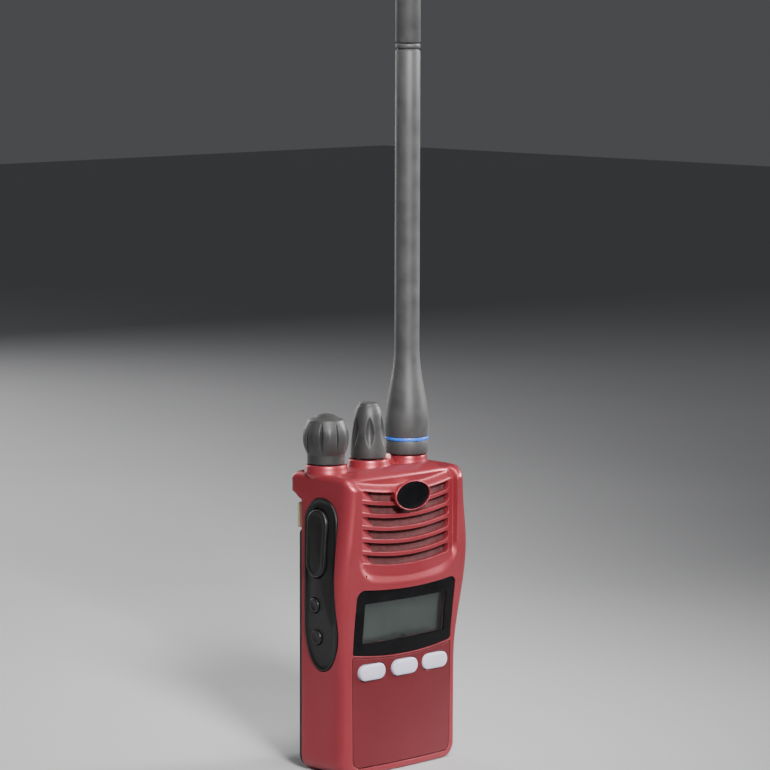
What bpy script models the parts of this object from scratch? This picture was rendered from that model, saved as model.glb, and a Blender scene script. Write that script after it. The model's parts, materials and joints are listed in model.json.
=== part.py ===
"""Portable two-way radio, built as separate solid pieces.

Lengths are in millimetres and are scaled to metres when a mesh is made. X is to the
radio's right as it is seen from the front, Y is to its back and Z is up. The origin is
on the base, under the middle of the body.
"""
import math

import bmesh
import bpy
from mathutils import Matrix, Vector

MM = 0.001
GAP = 0.3                    # between neighbouring pieces

# Body outline
BODY_TOP = 106.4
FRONT_LOW_Y = -15.6          # front face of the lower half
FRONT_STEP = 4.1             # how far the grille half stands in front of it
STEP_LOW_Z = 38.0
STEP_HIGH_Z = 84.0
FACE_RADIUS = 230.0          # the front is a slight arc across the width
HALF_WIDTH_LOW = 28.6
HALF_WIDTH_GAIN = 3.0        # the shoulders are wider than the waist
WIDEN_LOW_Z = 34.0
WIDEN_HIGH_Z = 70.0
HEAD_TAPER = 2.6
HEAD_TAPER_LOW_Z = 72.0
HEAD_TAPER_HIGH_Z = 102.0
REAR_HALF_WIDTH = 28.3
REAR_Y = 8.0                 # rear edge of the side walls
HEAD_REAR_Y = 13.9           # the head overhangs the battery
HEAD_LOW_Z = 96.6
HEAD_FULL_Z = 99.4
CORNER_DEPTH = 5.0           # the front corners are quarter ovals
CORNER_WIDTH = 2.8
CORNER_WIDTH_GAIN = 0.9
REAR_CORNER_R = 0.8
HEAD_CORNER_R = 2.6
BASE_CORNER_R = 5.5
BASE_LIP_R = 1.5
TOP_EDGE_R = 2.6
TOP_FRONT_R = 4.2            # the tops of the columns beside the grille

WALL = 2.2
GRILLE_INNER_Y = -15.9       # inner face behind the grille
CAVITY_TOP = 104.2
REAR_OPENING_TOP = 94.6

# Grille recess
RECESS_FLOOR_Y = -17.7
RECESS_HALF_WIDTH = 23.3     # at the floor
RECESS_LOW_Z = 69.8
RECESS_SAG = 3.1
RECESS_CORNER_R = 6.0
RECESS_SIDE_SLOPE = 0.25     # growth for each millimetre in front of the floor
RECESS_LOW_SLOPE = 3.6
SLOT_COUNT = 6
SLOT_TOP_Z = 101.4
SLOT_PITCH = 4.47
SLOT_HEIGHT = 3.15
SLOT_HALF_WIDTH = 21.3
SMILE_SAG = 2.05
MIC_X = -20.7
MIC_Z = 71.3

# Badge
BADGE_Z = 97.7
BADGE_HALF = (8.95, 5.4)
BADGE_SEAT_REAR = -16.3
BADGE_REAR = -18.3
BADGE_FRONT = -19.1

# Display
LENS_LOW_Z = 41.5
LENS_HIGH_Z = 65.2
LENS_LOW_SAG = 1.8
LENS_HIGH_SAG = 1.4
LENS_HALF_TOP = 24.5
LENS_HALF_BOTTOM = 24.3
LENS_SLANT = math.radians(5.8)
LENS_CENTRE = (0.0, -16.62, 54.1)
LENS_THICKNESS = 1.1
LCD_DEPTH = 2.9              # from the front of the lens to the panel
WINDOW_HALF_WIDTH = 20.4
WINDOW_HALF_HEIGHT = 7.2
WINDOW_MARGIN = 0.2

# Keys and the lower panel
PANEL_HALF_WIDTH = 24.3
PANEL_LOW_Z = 2.9
PANEL_HIGH_Z = 40.6
PANEL_THICKNESS = 0.85
PANEL_SAG = 1.8
GROOVE = 0.35
KEY_XS = {"left": -15.6, "middle": 0.0, "right": 15.6}
KEY_Z = 36.55
KEY_LENGTH = 12.5
KEY_HEIGHT = 5.7
KEY_PROUD = 0.95
KEY_REAR_Y = -13.0
KEY_MAT_Y = (-12.0, -11.4)
KEY_BOARD_Y = (-11.2, -10.2)

# Side pad, seen from the left: outline in Y and Z
PAD_FRONT_Y = -12.0
PAD_REAR_Y = 5.3
PAD_LOW_Z = 37.0
PAD_LOW_REACH = 16.0         # height of the pad's tapering lower end
PAD_HIGH_Z = 98.2
PTT_Y = -1.85
PTT_Z = 82.3
PTT_WIDTH = 10.7
PTT_HEIGHT = 24.0
SIDE_KEY_YZ = {"upper": (-0.9, 60.3), "lower": (-1.4, 48.9)}
SIDE_KEY_RADIUS = 2.6

# Deck
DECK_Y = 2.0
VOLUME_X = -21.7
CHANNEL_X = -0.8
ANTENNA_X = 18.5
COLLAR_R = 7.2
COLLAR_TOP = 109.2
COLLAR_BORE_R = 5.4
NUT_SEAT_Z = 106.7
BUSHING_R = 3.8
BUSHING_TOP = 109.0
SHAFT_R = 3.0
LED_X = 8.7
LED_R = 1.4
LED_TOP = 110.2
LED_BOSS_R = 2.4
LED_BOSS_TOP = 108.5

# Antenna
ANTENNA_BASE_Z = 109.5
ANTENNA_TOP_Z = 290.0
WHIP_R = 4.45
RING_LOW_Z = 114.2
RING_HIGH_Z = 115.2
TIP_LOW_Z = 255.9
GROOVE_LOW_Z = 253.2

# Inside
BOARD_FRONT_Y = -6.4
BOARD_REAR_Y = -5.2
PLATE_FRONT_Y = -3.2
PLATE_REAR_Y = -1.0
PLATE_HALF_WIDTH = 24.1
SPEAKER_Z = 86.5
SPEAKER_FRONT_Y = -14.1
MICROPHONE_Y = (-14.5, -11.9)
MICROPHONE_R = 2.0
SPEAKER_R = 17.6
SCREW_PLACES = ((-20.5, 12.0), (20.5, 12.0), (-13.5, 69.0), (13.5, 69.0))
BOSS_R = 2.6
JACK_Y = -9.2
JACK_BLOCK_X = (17.6, 26.6)
JACK_ZS = (68.2, 74.2)
COVER_HINGE_Y = -4.2
COVER_FRONT_Y = -12.2
COVER_LOW_Z = 63.0
COVER_HIGH_Z = 79.4

# Battery and its latch
BATTERY_HALF_WIDTH = 24.2
BATTERY_FRONT_Y = -0.4
BATTERY_TOP_Z = 83.7
BATTERY_REAR_Y = 13.2
LATCH_PIN_Y = 9.4
LATCH_PIN_Z = 92.6
LATCH_HALF_WIDTH = 26.9
LUG_X = 15.0

FINISHES = {
    "red_paint": ((0.36, 0.035, 0.05), 0.34, 0.35),
    "red_panel": ((0.30, 0.03, 0.042), 0.38, 0.35),
    "black_rubber": ((0.022, 0.022, 0.024), 0.62, 0.0),
    "black_plastic": ((0.03, 0.03, 0.032), 0.45, 0.0),
    "gloss_black": ((0.008, 0.008, 0.009), 0.08, 0.0),
    "clear_lens": ((0.05, 0.055, 0.055), 0.05, 0.0),
    "lcd_glass": ((0.21, 0.25, 0.23), 0.2, 0.0),
    "key_plastic": ((0.66, 0.65, 0.74), 0.4, 0.0),
    "blue_plastic": ((0.02, 0.16, 0.75), 0.35, 0.0),
    "tan_plastic": ((0.52, 0.46, 0.25), 0.45, 0.0),
    "led_plastic": ((0.75, 0.72, 0.7), 0.2, 0.0),
    "die_cast": ((0.55, 0.56, 0.58), 0.45, 1.0),
    "steel": ((0.6, 0.6, 0.62), 0.3, 1.0),
    "brass": ((0.72, 0.55, 0.25), 0.3, 1.0),
    "gold": ((0.83, 0.64, 0.24), 0.25, 1.0),
    "board": ((0.02, 0.16, 0.07), 0.5, 0.0),
    "cloth": ((0.02, 0.02, 0.02), 0.9, 0.0),
    "paper_cone": ((0.06, 0.055, 0.05), 0.8, 0.0),
    "cell_wrap": ((0.08, 0.2, 0.42), 0.4, 0.0),
}


# ---------------------------------------------------------------- mesh helpers

def clear_scene():
    for existing in list(bpy.data.objects):
        bpy.data.objects.remove(existing, do_unlink=True)


def finish_material(name):
    material = bpy.data.materials.get(name)
    if material:
        return material
    colour, roughness, metallic = FINISHES[name]
    material = bpy.data.materials.new(name)
    material.use_nodes = True
    shader = material.node_tree.nodes["Principled BSDF"]
    shader.inputs["Base Color"].default_value = (*colour, 1.0)
    shader.inputs["Roughness"].default_value = roughness
    shader.inputs["Metallic"].default_value = metallic
    return material


def is_bent(face):
    """True for a face whose corners don't lie in one plane, which a Boolean can't take."""
    middle = face.calc_center_median()
    return any(abs(face.normal.dot(vertex.co - middle)) > 0.0005 * MM for vertex in face.verts)


def turn_faces_out(mesh):
    """Point a closed mesh's faces outwards and split its bent faces."""
    work = bmesh.new()
    work.from_mesh(mesh)
    bmesh.ops.recalc_face_normals(work, faces=work.faces)
    if work.calc_volume(signed=True) < 0.0:
        bmesh.ops.reverse_faces(work, faces=work.faces)
    bmesh.ops.triangulate(work, faces=[face for face in work.faces if is_bent(face)])
    work.to_mesh(mesh)
    work.free()


def make_object(name, points, faces, finish, origin=(0.0, 0.0, 0.0)):
    """Make a closed object from points in millimetres, with its faces pointing out."""
    pivot = Vector(origin)
    mesh = bpy.data.meshes.new(name)
    mesh.from_pydata([(Vector(p) - pivot) * MM for p in points], [], faces)
    turn_faces_out(mesh)
    made = bpy.data.objects.new(name, mesh)
    made.location = pivot * MM
    bpy.context.collection.objects.link(made)
    mesh.materials.append(finish_material(finish))
    return made


def smooth(made, angle=32.0):
    made.data.shade_smooth()
    made.data.set_sharp_from_angle(angle=math.radians(angle))
    return made


def loft(rings):
    """Join rings of equal length into one skin and close both ends."""
    count = len(rings[0])
    points = [point for ring in rings for point in ring]
    faces = []
    for level in range(len(rings) - 1):
        low = level * count
        for i in range(count):
            j = (i + 1) % count
            faces.append((low + i, low + j, low + count + j, low + count + i))
    faces.append(tuple(reversed(range(count))))
    faces.append(tuple(range(len(points) - count, len(points))))
    return points, faces


def place(u, v, depth, axis):
    if axis == "X":
        return (depth, u, v)
    if axis == "Y":
        return (u, depth, v)
    return (u, v, depth)


def prism(name, outline, axis, low, high, finish="black_plastic", origin=(0.0, 0.0, 0.0)):
    """Extrude an outline along an axis. The outline is in the other two axes, in order."""
    rings = [[place(u, v, depth, axis) for u, v in outline] for depth in (low, high)]
    return make_object(name, *loft(rings), finish, origin)


def box(name, low, high, finish="black_plastic"):
    outline = [(low[0], low[1]), (high[0], low[1]), (high[0], high[1]), (low[0], high[1])]
    return prism(name, outline, "Z", low[2], high[2], finish)


def circle(u, v, radius, steps=20):
    turn = 2.0 * math.pi / steps
    return [(u + radius * math.cos(turn * i), v + radius * math.sin(turn * i)) for i in range(steps)]


def oval(u, v, width, height, steps=6):
    """A racetrack outline: two half circles joined by straight sides."""
    radius = min(width, height) / 2.0
    reach_u = width / 2.0 - radius
    reach_v = height / 2.0 - radius
    outline = []
    start = -90.0 if width >= height else 0.0
    for side, first in ((1.0, start), (-1.0, start + 180.0)):
        for i in range(steps + 1):
            angle = math.radians(first + 180.0 * i / steps)
            outline.append((u + side * reach_u + radius * math.cos(angle),
                            v + side * reach_v + radius * math.sin(angle)))
    return outline


def ellipse(u, v, half_u, half_v, steps=28):
    turn = 2.0 * math.pi / steps
    return [(u + half_u * math.cos(turn * i), v + half_v * math.sin(turn * i)) for i in range(steps)]


def rounded(low, high, radius, steps=4):
    """A rectangle with round corners, from its low and high corners."""
    centres = ((high[0] - radius, low[1] + radius, -90.0), (high[0] - radius, high[1] - radius, 0.0),
               (low[0] + radius, high[1] - radius, 90.0), (low[0] + radius, low[1] + radius, 180.0))
    outline = []
    for u, v, first in centres:
        for i in range(steps + 1):
            angle = math.radians(first + 90.0 * i / steps)
            outline.append((u + radius * math.cos(angle), v + radius * math.sin(angle)))
    return outline


def hexagon(u, v, across):
    radius = across / math.sqrt(3.0)
    return circle(u, v, radius, 6)


def lathe(name, profile, centre, finish, segments=28, shape=None, closed=False, origin=None):
    """Turn a profile of (radius, z) about a vertical axis.

    An open profile starts and ends on the axis. A closed one is a ring's section.
    """
    points = []
    rows = []
    for radius, z in profile:
        if radius < 1e-6:
            rows.append([len(points)])
            points.append((centre[0], centre[1], z))
            continue
        row = []
        for i in range(segments):
            angle = 2.0 * math.pi * i / segments
            r = shape(radius, z, angle) if shape else radius
            row.append(len(points))
            points.append((centre[0] + r * math.cos(angle), centre[1] + r * math.sin(angle), z))
        rows.append(row)
    pairs = list(zip(rows, rows[1:]))
    if closed:
        pairs.append((rows[-1], rows[0]))
    faces = []
    for low, high in pairs:
        for i in range(segments):
            j = (i + 1) % segments
            if len(low) == 1:
                faces.append((low[0], high[j], high[i]))
            elif len(high) == 1:
                faces.append((low[i], low[j], high[0]))
            else:
                faces.append((low[i], low[j], high[j], high[i]))
    pivot = origin or (centre[0], centre[1], profile[0][1])
    return smooth(make_object(name, points, faces, finish, pivot))


def combine(target, tools, operation):
    """Apply one Boolean for each tool, then remove the tools."""
    material = target.data.materials[0]
    for tool in tools:
        tool.hide_render = True
        tool.display_type = "WIRE"
        change = target.modifiers.new(operation.lower(), "BOOLEAN")
        change.operation = operation
        change.object = tool
    bpy.context.view_layer.update()
    result = target.evaluated_get(bpy.context.evaluated_depsgraph_get())
    mesh = bpy.data.meshes.new_from_object(result)
    target.modifiers.clear()
    plain = target.data
    target.data = mesh
    bpy.data.meshes.remove(plain)
    mesh.name = target.name
    for tool in tools:
        bpy.data.objects.remove(tool, do_unlink=True)
    mesh.materials.clear()
    mesh.materials.append(material)
    for face in mesh.polygons:
        face.material_index = 0
    return smooth(target)


def cut(target, *tools):
    return combine(target, tools, "DIFFERENCE")


def join(target, *tools):
    return combine(target, tools, "UNION")


def keep_inside(target, *tools):
    return combine(target, tools, "INTERSECT")


def cylinder(name, centre, radius, axis, low, high, finish="steel", steps=16):
    return prism(name, circle(centre[0], centre[1], radius, steps), axis, low, high, finish)


# ---------------------------------------------------------------- body outline

def ease(value, low, high):
    """A smooth step from 0 at low to 1 at high."""
    t = min(max((value - low) / (high - low), 0.0), 1.0)
    return t * t * (3.0 - 2.0 * t)


def front_y(z):
    """The front face on the centre line: a low half, a slope and a forward grille half."""
    return FRONT_LOW_Y - FRONT_STEP * ease(z, STEP_LOW_Z, STEP_HIGH_Z)


def bow(x):
    """How far the arched front falls back at a distance from the centre line."""
    return x * x / (2.0 * FACE_RADIUS)


def half_width(z):
    widened = HALF_WIDTH_GAIN * ease(z, WIDEN_LOW_Z, WIDEN_HIGH_Z)
    return HALF_WIDTH_LOW + widened - HEAD_TAPER * ease(z, HEAD_TAPER_LOW_Z, HEAD_TAPER_HIGH_Z)


def quarter(distance, radius):
    """How far a round edge has come in, at a distance short of the end."""
    if distance >= radius:
        return 0.0
    return radius - math.sqrt(radius ** 2 - (radius - distance) ** 2)


def rear_y(z):
    """The side walls end at one depth, and the head steps back over the battery."""
    share = min(max((z - HEAD_LOW_Z) / (HEAD_FULL_Z - HEAD_LOW_Z), 0.0), 1.0)
    return REAR_Y + (HEAD_REAR_Y - REAR_Y) * share


def corner_width(z):
    return CORNER_WIDTH + CORNER_WIDTH_GAIN * ease(z, WIDEN_LOW_Z, WIDEN_HIGH_Z)


def body_ring(z, inset=0.0, front_limit=None, rear=None):
    """The body's outline at one height, shrunk by an inset."""
    short = BODY_TOP - z
    side_inset = inset + quarter(short, TOP_EDGE_R) + quarter(max(z, 0.0), BASE_CORNER_R)
    nose = front_y(z) + inset + quarter(max(z, 0.0), BASE_LIP_R)
    if front_limit is None:
        nose += quarter(short, TOP_FRONT_R)
    else:
        nose = max(nose, front_limit) + quarter(short, TOP_EDGE_R)
    back = rear_y(z) - inset - quarter(short, TOP_EDGE_R) if rear is None else rear
    wide = half_width(z) - side_inset
    wide_rear = REAR_HALF_WIDTH - side_inset
    corner_x = max(corner_width(z) - inset, 0.8)
    corner_y = max(CORNER_DEPTH - inset, 1.2)
    head = ease(z, HEAD_LOW_Z, HEAD_FULL_Z)
    rear_corner = max(REAR_CORNER_R + (HEAD_CORNER_R - REAR_CORNER_R) * head - max(inset, 0.0), 0.4)
    front_end = wide - corner_x
    half = []
    front_steps = 5
    for i in range(1, front_steps + 1):
        x = front_end * i / front_steps
        half.append((x, nose + bow(x)))
    corner_steps = 4
    centre_y = nose + bow(front_end) + corner_y
    if rear is not None:
        wide_rear = wide + (wide_rear - wide) * (rear - centre_y) / (REAR_Y - centre_y)
    for i in range(1, corner_steps + 1):
        angle = math.radians(-90.0 + 90.0 * i / corner_steps)
        half.append((front_end + corner_x * math.cos(angle), centre_y + corner_y * math.sin(angle)))
    for angle in (0.0, 45.0, 90.0):
        turn = math.radians(angle)
        half.append((wide_rear - rear_corner + rear_corner * math.cos(turn),
                     back - rear_corner + rear_corner * math.sin(turn)))
    left = [(-x, y) for x, y in reversed(half)]
    return [(x, y, z) for x, y in left + [(0.0, nose)] + half]


def body_solid(name, levels, inset=0.0, front_limit=None, rear=None, finish="red_paint"):
    """A solid of the body's outline between the first and last level."""
    rings = [body_ring(z, inset, front_limit, rear) for z in levels]
    return make_object(name, *loft(rings), finish)


def spread(low, high, steps):
    return [low + (high - low) * i / steps for i in range(steps + 1)]


FACE_LEVELS = [WIDEN_LOW_Z] + spread(STEP_LOW_Z, STEP_HIGH_Z, 8) + [90.0, HEAD_LOW_Z]
BASE_LEVELS = [0.0, 0.35, 1.0, 1.9, 3.4, BASE_CORNER_R]
TOP_LEVELS = [HEAD_FULL_Z] + [BODY_TOP - TOP_EDGE_R * (1.0 - math.sin(math.radians(a))) for a in (0, 30, 60, 90)]


def slice_solid(low, high, inset, front_limit=None, rear=None):
    """A helper solid for the stretch between two heights, used to trim skins."""
    middle = [z for z in FACE_LEVELS if low < z < high]
    base = [z for z in BASE_LEVELS[1:] if low < z < high]
    return body_solid("slice", [low] + base + middle + [high], inset, front_limit, rear)


def side_x(y, z):
    """The side wall's distance from the middle."""
    corner_y = front_y(z) + bow(half_width(z) - corner_width(z)) + CORNER_DEPTH
    share = min(max((y - corner_y) / (REAR_Y - corner_y), 0.0), 1.0)
    return half_width(z) + (REAR_HALF_WIDTH - half_width(z)) * share


def reach_along(axis, side):
    """The stretch that a cutter covers: the front along Y, or one side along X."""
    if axis == "X" and side > 0.0:
        return 5.0, 40.0
    return -40.0, -5.0


def skin(name, outline, axis, low_z, high_z, outer_inset, inner_inset, finish, side=1.0, origin=None):
    """A piece of the body's skin with a given outline, between two insets from the surface."""
    reach = reach_along(axis, side)
    piece = prism(name, outline, axis, reach[0], reach[1], finish, origin or (0.0, 0.0, 0.0))
    keep_inside(piece, slice_solid(low_z, high_z, outer_inset))
    cut(piece, slice_solid(low_z - 1.0, high_z + 1.0, inner_inset))
    return piece


def skin_cutter(outline, axis, low_z, high_z, inner_inset, side=1.0):
    """A cutter for a pocket of even depth below the body's surface."""
    reach = reach_along(axis, side)
    pocket = prism("pocket", outline, axis, reach[0], reach[1])
    return cut(pocket, slice_solid(low_z, high_z, inner_inset))


def grow(outline, amount):
    """Offset a convex-ish outline outwards by an amount."""
    count = len(outline)
    area = 0.0
    for i in range(count):
        u0, v0 = outline[i]
        u1, v1 = outline[(i + 1) % count]
        area += u0 * v1 - u1 * v0
    sign = 1.0 if area > 0 else -1.0
    grown = []
    for i in range(count):
        before = Vector(outline[i - 1])
        here = Vector(outline[i])
        after = Vector(outline[(i + 1) % count])
        along_in = (here - before).normalized()
        along_out = (after - here).normalized()
        normal = Vector((along_in.y + along_out.y, -(along_in.x + along_out.x))).normalized() * sign
        square = max(normal.dot(Vector((along_in.y, -along_in.x)) * sign), 0.5)
        grown.append(tuple(here + normal * amount / square))
    return grown


# ---------------------------------------------------------------- outlines on the faces

def smile(x, half, sag):
    """The rise of a smile-shaped edge at a distance from the centre line."""
    return sag * (x / half) ** 2


def smile_row(reach, half, height, sag, steps):
    """The points of a smile-shaped edge, from left to right."""
    return [(x, height + smile(x, half, sag)) for x in spread(-reach, reach, steps)]


def face_outline(half_bottom, half_top, low, high, low_sag, high_sag, radius_low, radius_high, steps=8):
    """A four-sided outline with smile-shaped edges and round corners, in X and Z."""
    lower = smile_row(half_bottom - radius_low, half_bottom, low, low_sag, steps)
    upper = smile_row(half_top - radius_high, half_top, high, high_sag, steps)
    right = []
    for x, z, radius, shares in ((half_bottom - radius_low, lower[-1][1] + radius_low, radius_low, (-3, -2, -1, 0)),
                                 (half_top - radius_high, upper[-1][1] - radius_high, radius_high, (0, 1, 2, 3))):
        for share in shares:
            angle = math.radians(90.0 * share / 4)
            right.append((x + radius * math.cos(angle), z + radius * math.sin(angle)))
    left = [(-x, z) for x, z in reversed(right)]
    return lower + right + upper[::-1] + left


def slot_outline(top):
    """One grille slot: a bent band with a square left end and a round right end."""
    outline = []
    steps = 6
    radius = SLOT_HEIGHT / 2.0
    low = top - SLOT_HEIGHT - SMILE_SAG
    x_end = SLOT_HALF_WIDTH - radius
    for i in range(steps + 1):
        x = -SLOT_HALF_WIDTH + (x_end + SLOT_HALF_WIDTH) * i / steps
        outline.append((x, low + smile(x, SLOT_HALF_WIDTH, SMILE_SAG)))
    upper = [(x, z + SLOT_HEIGHT) for x, z in reversed(outline)]
    middle = outline[-1][1] + radius
    for i in range(1, 4):
        angle = math.radians(-90.0 + 180.0 * i / 4)
        outline.append((x_end + radius * math.cos(angle), middle + radius * math.sin(angle)))
    return outline + upper


def pad_outline():
    """The side pad: a round top and a longer, pointed lower end, in Y and Z."""
    middle = (PAD_FRONT_Y + PAD_REAR_Y) / 2.0
    half = (PAD_REAR_Y - PAD_FRONT_Y) / 2.0
    outline = []
    for i in range(10):
        angle = math.radians(-90.0 + 180.0 * i / 9 + 90.0)
        outline.append((middle + half * math.cos(angle), PAD_HIGH_Z - half + half * math.sin(angle)))
    for i in range(11):
        angle = math.radians(180.0 + 180.0 * i / 10)
        outline.append((middle + half * math.cos(angle), PAD_LOW_Z + PAD_LOW_REACH * (1.0 + math.sin(angle))))
    return outline


def lens_outline():
    cz = LENS_CENTRE[2]
    return face_outline(LENS_HALF_BOTTOM, LENS_HALF_TOP, LENS_LOW_Z - cz, LENS_HIGH_Z - cz, LENS_LOW_SAG,
                        LENS_HIGH_SAG, 0.9, 3.0)


def bowed_slab(front, back):
    """A slab in the display's own frame that follows the front's arc between two depths."""
    rings = []
    for x in spread(-27.0, 27.0, 12):
        low, high = front + bow(x), back + bow(x)
        rings.append([(x, low, -14.0), (x, high, -14.0), (x, high, 14.0), (x, low, 14.0)])
    return make_object("slab", *loft(rings), "clear_lens")


def tilt_display(piece):
    """Move a piece from the display's own frame (X across, Y in, Z up) to its slanted place."""
    turn = Matrix.Rotation(LENS_SLANT, 4, "X")
    shift = Matrix.Translation(Vector(LENS_CENTRE) * MM)
    piece.data.transform(shift @ turn)
    return piece


# ---------------------------------------------------------------- housing

def make_front_housing():
    """The red shell: front, sides, floor, head and the three collars on the deck."""
    shell = body_solid("front_housing", BASE_LEVELS + FACE_LEVELS + TOP_LEVELS)
    cavity_levels = [WALL, 3.4, BASE_CORNER_R] + spread(STEP_LOW_Z, STEP_HIGH_Z, 5) + [REAR_OPENING_TOP]
    cavity = body_solid("cavity", cavity_levels, WALL, GRILLE_INNER_Y, 20.0)
    head_levels = [90.0, HEAD_LOW_Z, HEAD_FULL_Z, 101.5, CAVITY_TOP]
    rings = []
    for z in head_levels:
        rings.append(body_ring(z, WALL + 0.1, GRILLE_INNER_Y + 0.1, rear_y(z - WALL) - WALL))
    head_cavity = make_object("head_cavity", *loft(rings), "red_paint")
    cut(shell, cavity, head_cavity)
    add_collars(shell)
    add_bosses(shell)
    cut_recess(shell)
    cut_display(shell)
    cut_front_pockets(shell)
    cut_side_pockets(shell)
    cut_deck_holes(shell)
    return shell


def add_collars(shell):
    for x in (VOLUME_X, CHANNEL_X, ANTENNA_X):
        profile = ((COLLAR_R + 0.7, 105.2), (COLLAR_R + 0.35, 106.9), (COLLAR_R, COLLAR_TOP - 0.5),
                   (COLLAR_R - 0.5, COLLAR_TOP))
        rings = [[(u, v, z) for u, v in circle(x, DECK_Y, radius, 24)] for radius, z in profile]
        join(shell, make_object("collar", *loft(rings), "red_paint"))
    join(shell, cylinder("led_boss", (LED_X, DECK_Y), LED_BOSS_R, "Z", 105.0, LED_BOSS_TOP, steps=20))


def inner_y(z):
    """The inner face of the front wall on the centre line."""
    return max(front_y(z) + WALL, GRILLE_INNER_Y)


def add_bosses(shell):
    """Posts behind the front that take the case screws."""
    for x, z in SCREW_PLACES:
        join(shell, cylinder("boss", (x, z), BOSS_R, "Y", inner_y(z) + bow(x) - 0.9, BOARD_FRONT_Y - GAP))
        cut(shell, cylinder("pilot", (x, z), 1.15, "Y", -10.6, 0.0, steps=12))


def recess_outline(forward):
    """The recess's outline at a distance in front of its floor. It widens on its way out."""
    half = RECESS_HALF_WIDTH + RECESS_SIDE_SLOPE * forward
    low = RECESS_LOW_Z - RECESS_LOW_SLOPE * forward
    return face_outline(half, half, low, BODY_TOP + 4.0, RECESS_SAG, 0.0, RECESS_CORNER_R, 0.5)


def cut_recess(shell):
    """The sunken grille panel between two columns, its smile-shaped rim and its slots."""
    rings = []
    for forward in (-0.5, 4.0):
        rings.append([(u, RECESS_FLOOR_Y - forward, v) for u, v in recess_outline(forward)])
    recess = make_object("recess", *loft(rings), "red_paint")
    levels = [50.0] + [z for z in FACE_LEVELS if z > 50.0] + TOP_LEVELS
    floor = body_solid("floor", levels, 0.0, RECESS_FLOOR_Y, 4.0)
    deck_cut = box("deck_cut", (-40.0, GRILLE_INNER_Y, BODY_TOP - 3.0), (40.0, 20.0, BODY_TOP + 8.0))
    cut(recess, floor, deck_cut)
    cut(shell, recess)
    for i in range(SLOT_COUNT):
        cut(shell, prism("slot", slot_outline(SLOT_TOP_Z - i * SLOT_PITCH), "Y", -20.0, -13.0))
    join(shell, badge_disc("badge_seat", BADGE_HALF, BADGE_SEAT_REAR, BADGE_FRONT - 0.15, "red_paint"))
    inner = (BADGE_HALF[0] - 0.6, BADGE_HALF[1] - 0.45)
    cut(shell, badge_disc("badge_pocket", inner, -20.0, BADGE_REAR, "red_paint"))
    cut(shell, cylinder("mic_hole", (MIC_X, MIC_Z), 0.45, "Y", -20.0, -12.4, steps=10))


def badge_disc(name, half, low, high, finish):
    low, high = min(low, high), max(low, high)
    return prism(name, ellipse(0.0, BADGE_Z, half[0], half[1]), "Y", low, high, finish)


def cut_display(shell):
    pocket = prism("pocket", grow(lens_outline(), GAP), "Y", -6.0, 6.0)
    keep_inside(pocket, bowed_slab(-7.0, LENS_THICKNESS + 0.2))
    half_x = WINDOW_HALF_WIDTH + WINDOW_MARGIN
    half_z = WINDOW_HALF_HEIGHT + WINDOW_MARGIN
    window = prism("window", rounded((-half_x, -half_z), (half_x, half_z), 0.6, 2), "Y", -6.0, 6.0)
    rear_seat = box("rear_seat", (-22.2, LCD_DEPTH - 0.2, -9.7), (22.2, 6.0, 9.7))
    cut(shell, tilt_display(pocket), tilt_display(window), tilt_display(rear_seat))


def panel_outline():
    return face_outline(PANEL_HALF_WIDTH - 0.3, PANEL_HALF_WIDTH, PANEL_LOW_Z, PANEL_HIGH_Z, 0.0, PANEL_SAG, 3.0, 0.8)


def cut_front_pockets(shell):
    """The pocket for the lower panel, the key holes and the badge's seat."""
    cut(shell, skin_cutter(grow(panel_outline(), GROOVE), "Y", 2.0, 46.0, PANEL_THICKNESS + GAP))
    for x in KEY_XS.values():
        cut(shell, prism("key_hole", oval(x, KEY_Z, KEY_LENGTH + 0.8, KEY_HEIGHT + 0.8), "Y", -20.0, -8.0))


def cover_outline():
    return rounded((COVER_FRONT_Y, COVER_LOW_Z), (COVER_HINGE_Y, COVER_HIGH_Z), 2.4)


def cut_side_pockets(shell):
    """Left: the pad's pocket and the button openings. Right: the jack cover's pocket."""
    cut(shell, skin_cutter(grow(pad_outline(), GAP), "X", 33.0, 103.0, 1.2, -1.0))
    cut(shell, prism("ptt_window", oval(PTT_Y, PTT_Z, PTT_WIDTH + 0.8, PTT_HEIGHT + 0.8), "X", -40.0, -20.0))
    for y, z in SIDE_KEY_YZ.values():
        cut(shell, prism("side_window", circle(y, z, SIDE_KEY_RADIUS + 0.4, 16), "X", -40.0, -20.0))
    cut(shell, skin_cutter(grow(cover_outline(), GAP), "X", 50.0, 86.0, 1.3))
    for z in JACK_ZS:
        cut(shell, prism("jack_hole", circle(JACK_Y, z, 2.6, 16), "X", 20.0, 40.0))


def cut_deck_holes(shell):
    for x in (VOLUME_X, CHANNEL_X, ANTENNA_X):
        cut(shell, cylinder("bushing_hole", (x, DECK_Y), BUSHING_R + 0.35, "Z", 100.0, 112.0, steps=20))
    for x in (VOLUME_X, CHANNEL_X):
        cut(shell, cylinder("counterbore", (x, DECK_Y), COLLAR_BORE_R, "Z", NUT_SEAT_Z, 112.0, steps=24))
    cut(shell, cylinder("led_hole", (LED_X, DECK_Y), LED_R + GAP, "Z", 100.0, 112.0, steps=14))


# ---------------------------------------------------------------- front pieces

def make_lower_panel():
    panel = skin("lower_panel", panel_outline(), "Y", 2.0, 46.0, 0.05, PANEL_THICKNESS, "red_panel")
    for x in KEY_XS.values():
        cut(panel, prism("key_hole", oval(x, KEY_Z, KEY_LENGTH + 0.7, KEY_HEIGHT + 0.7), "Y", -20.0, -8.0))
    return panel


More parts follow.
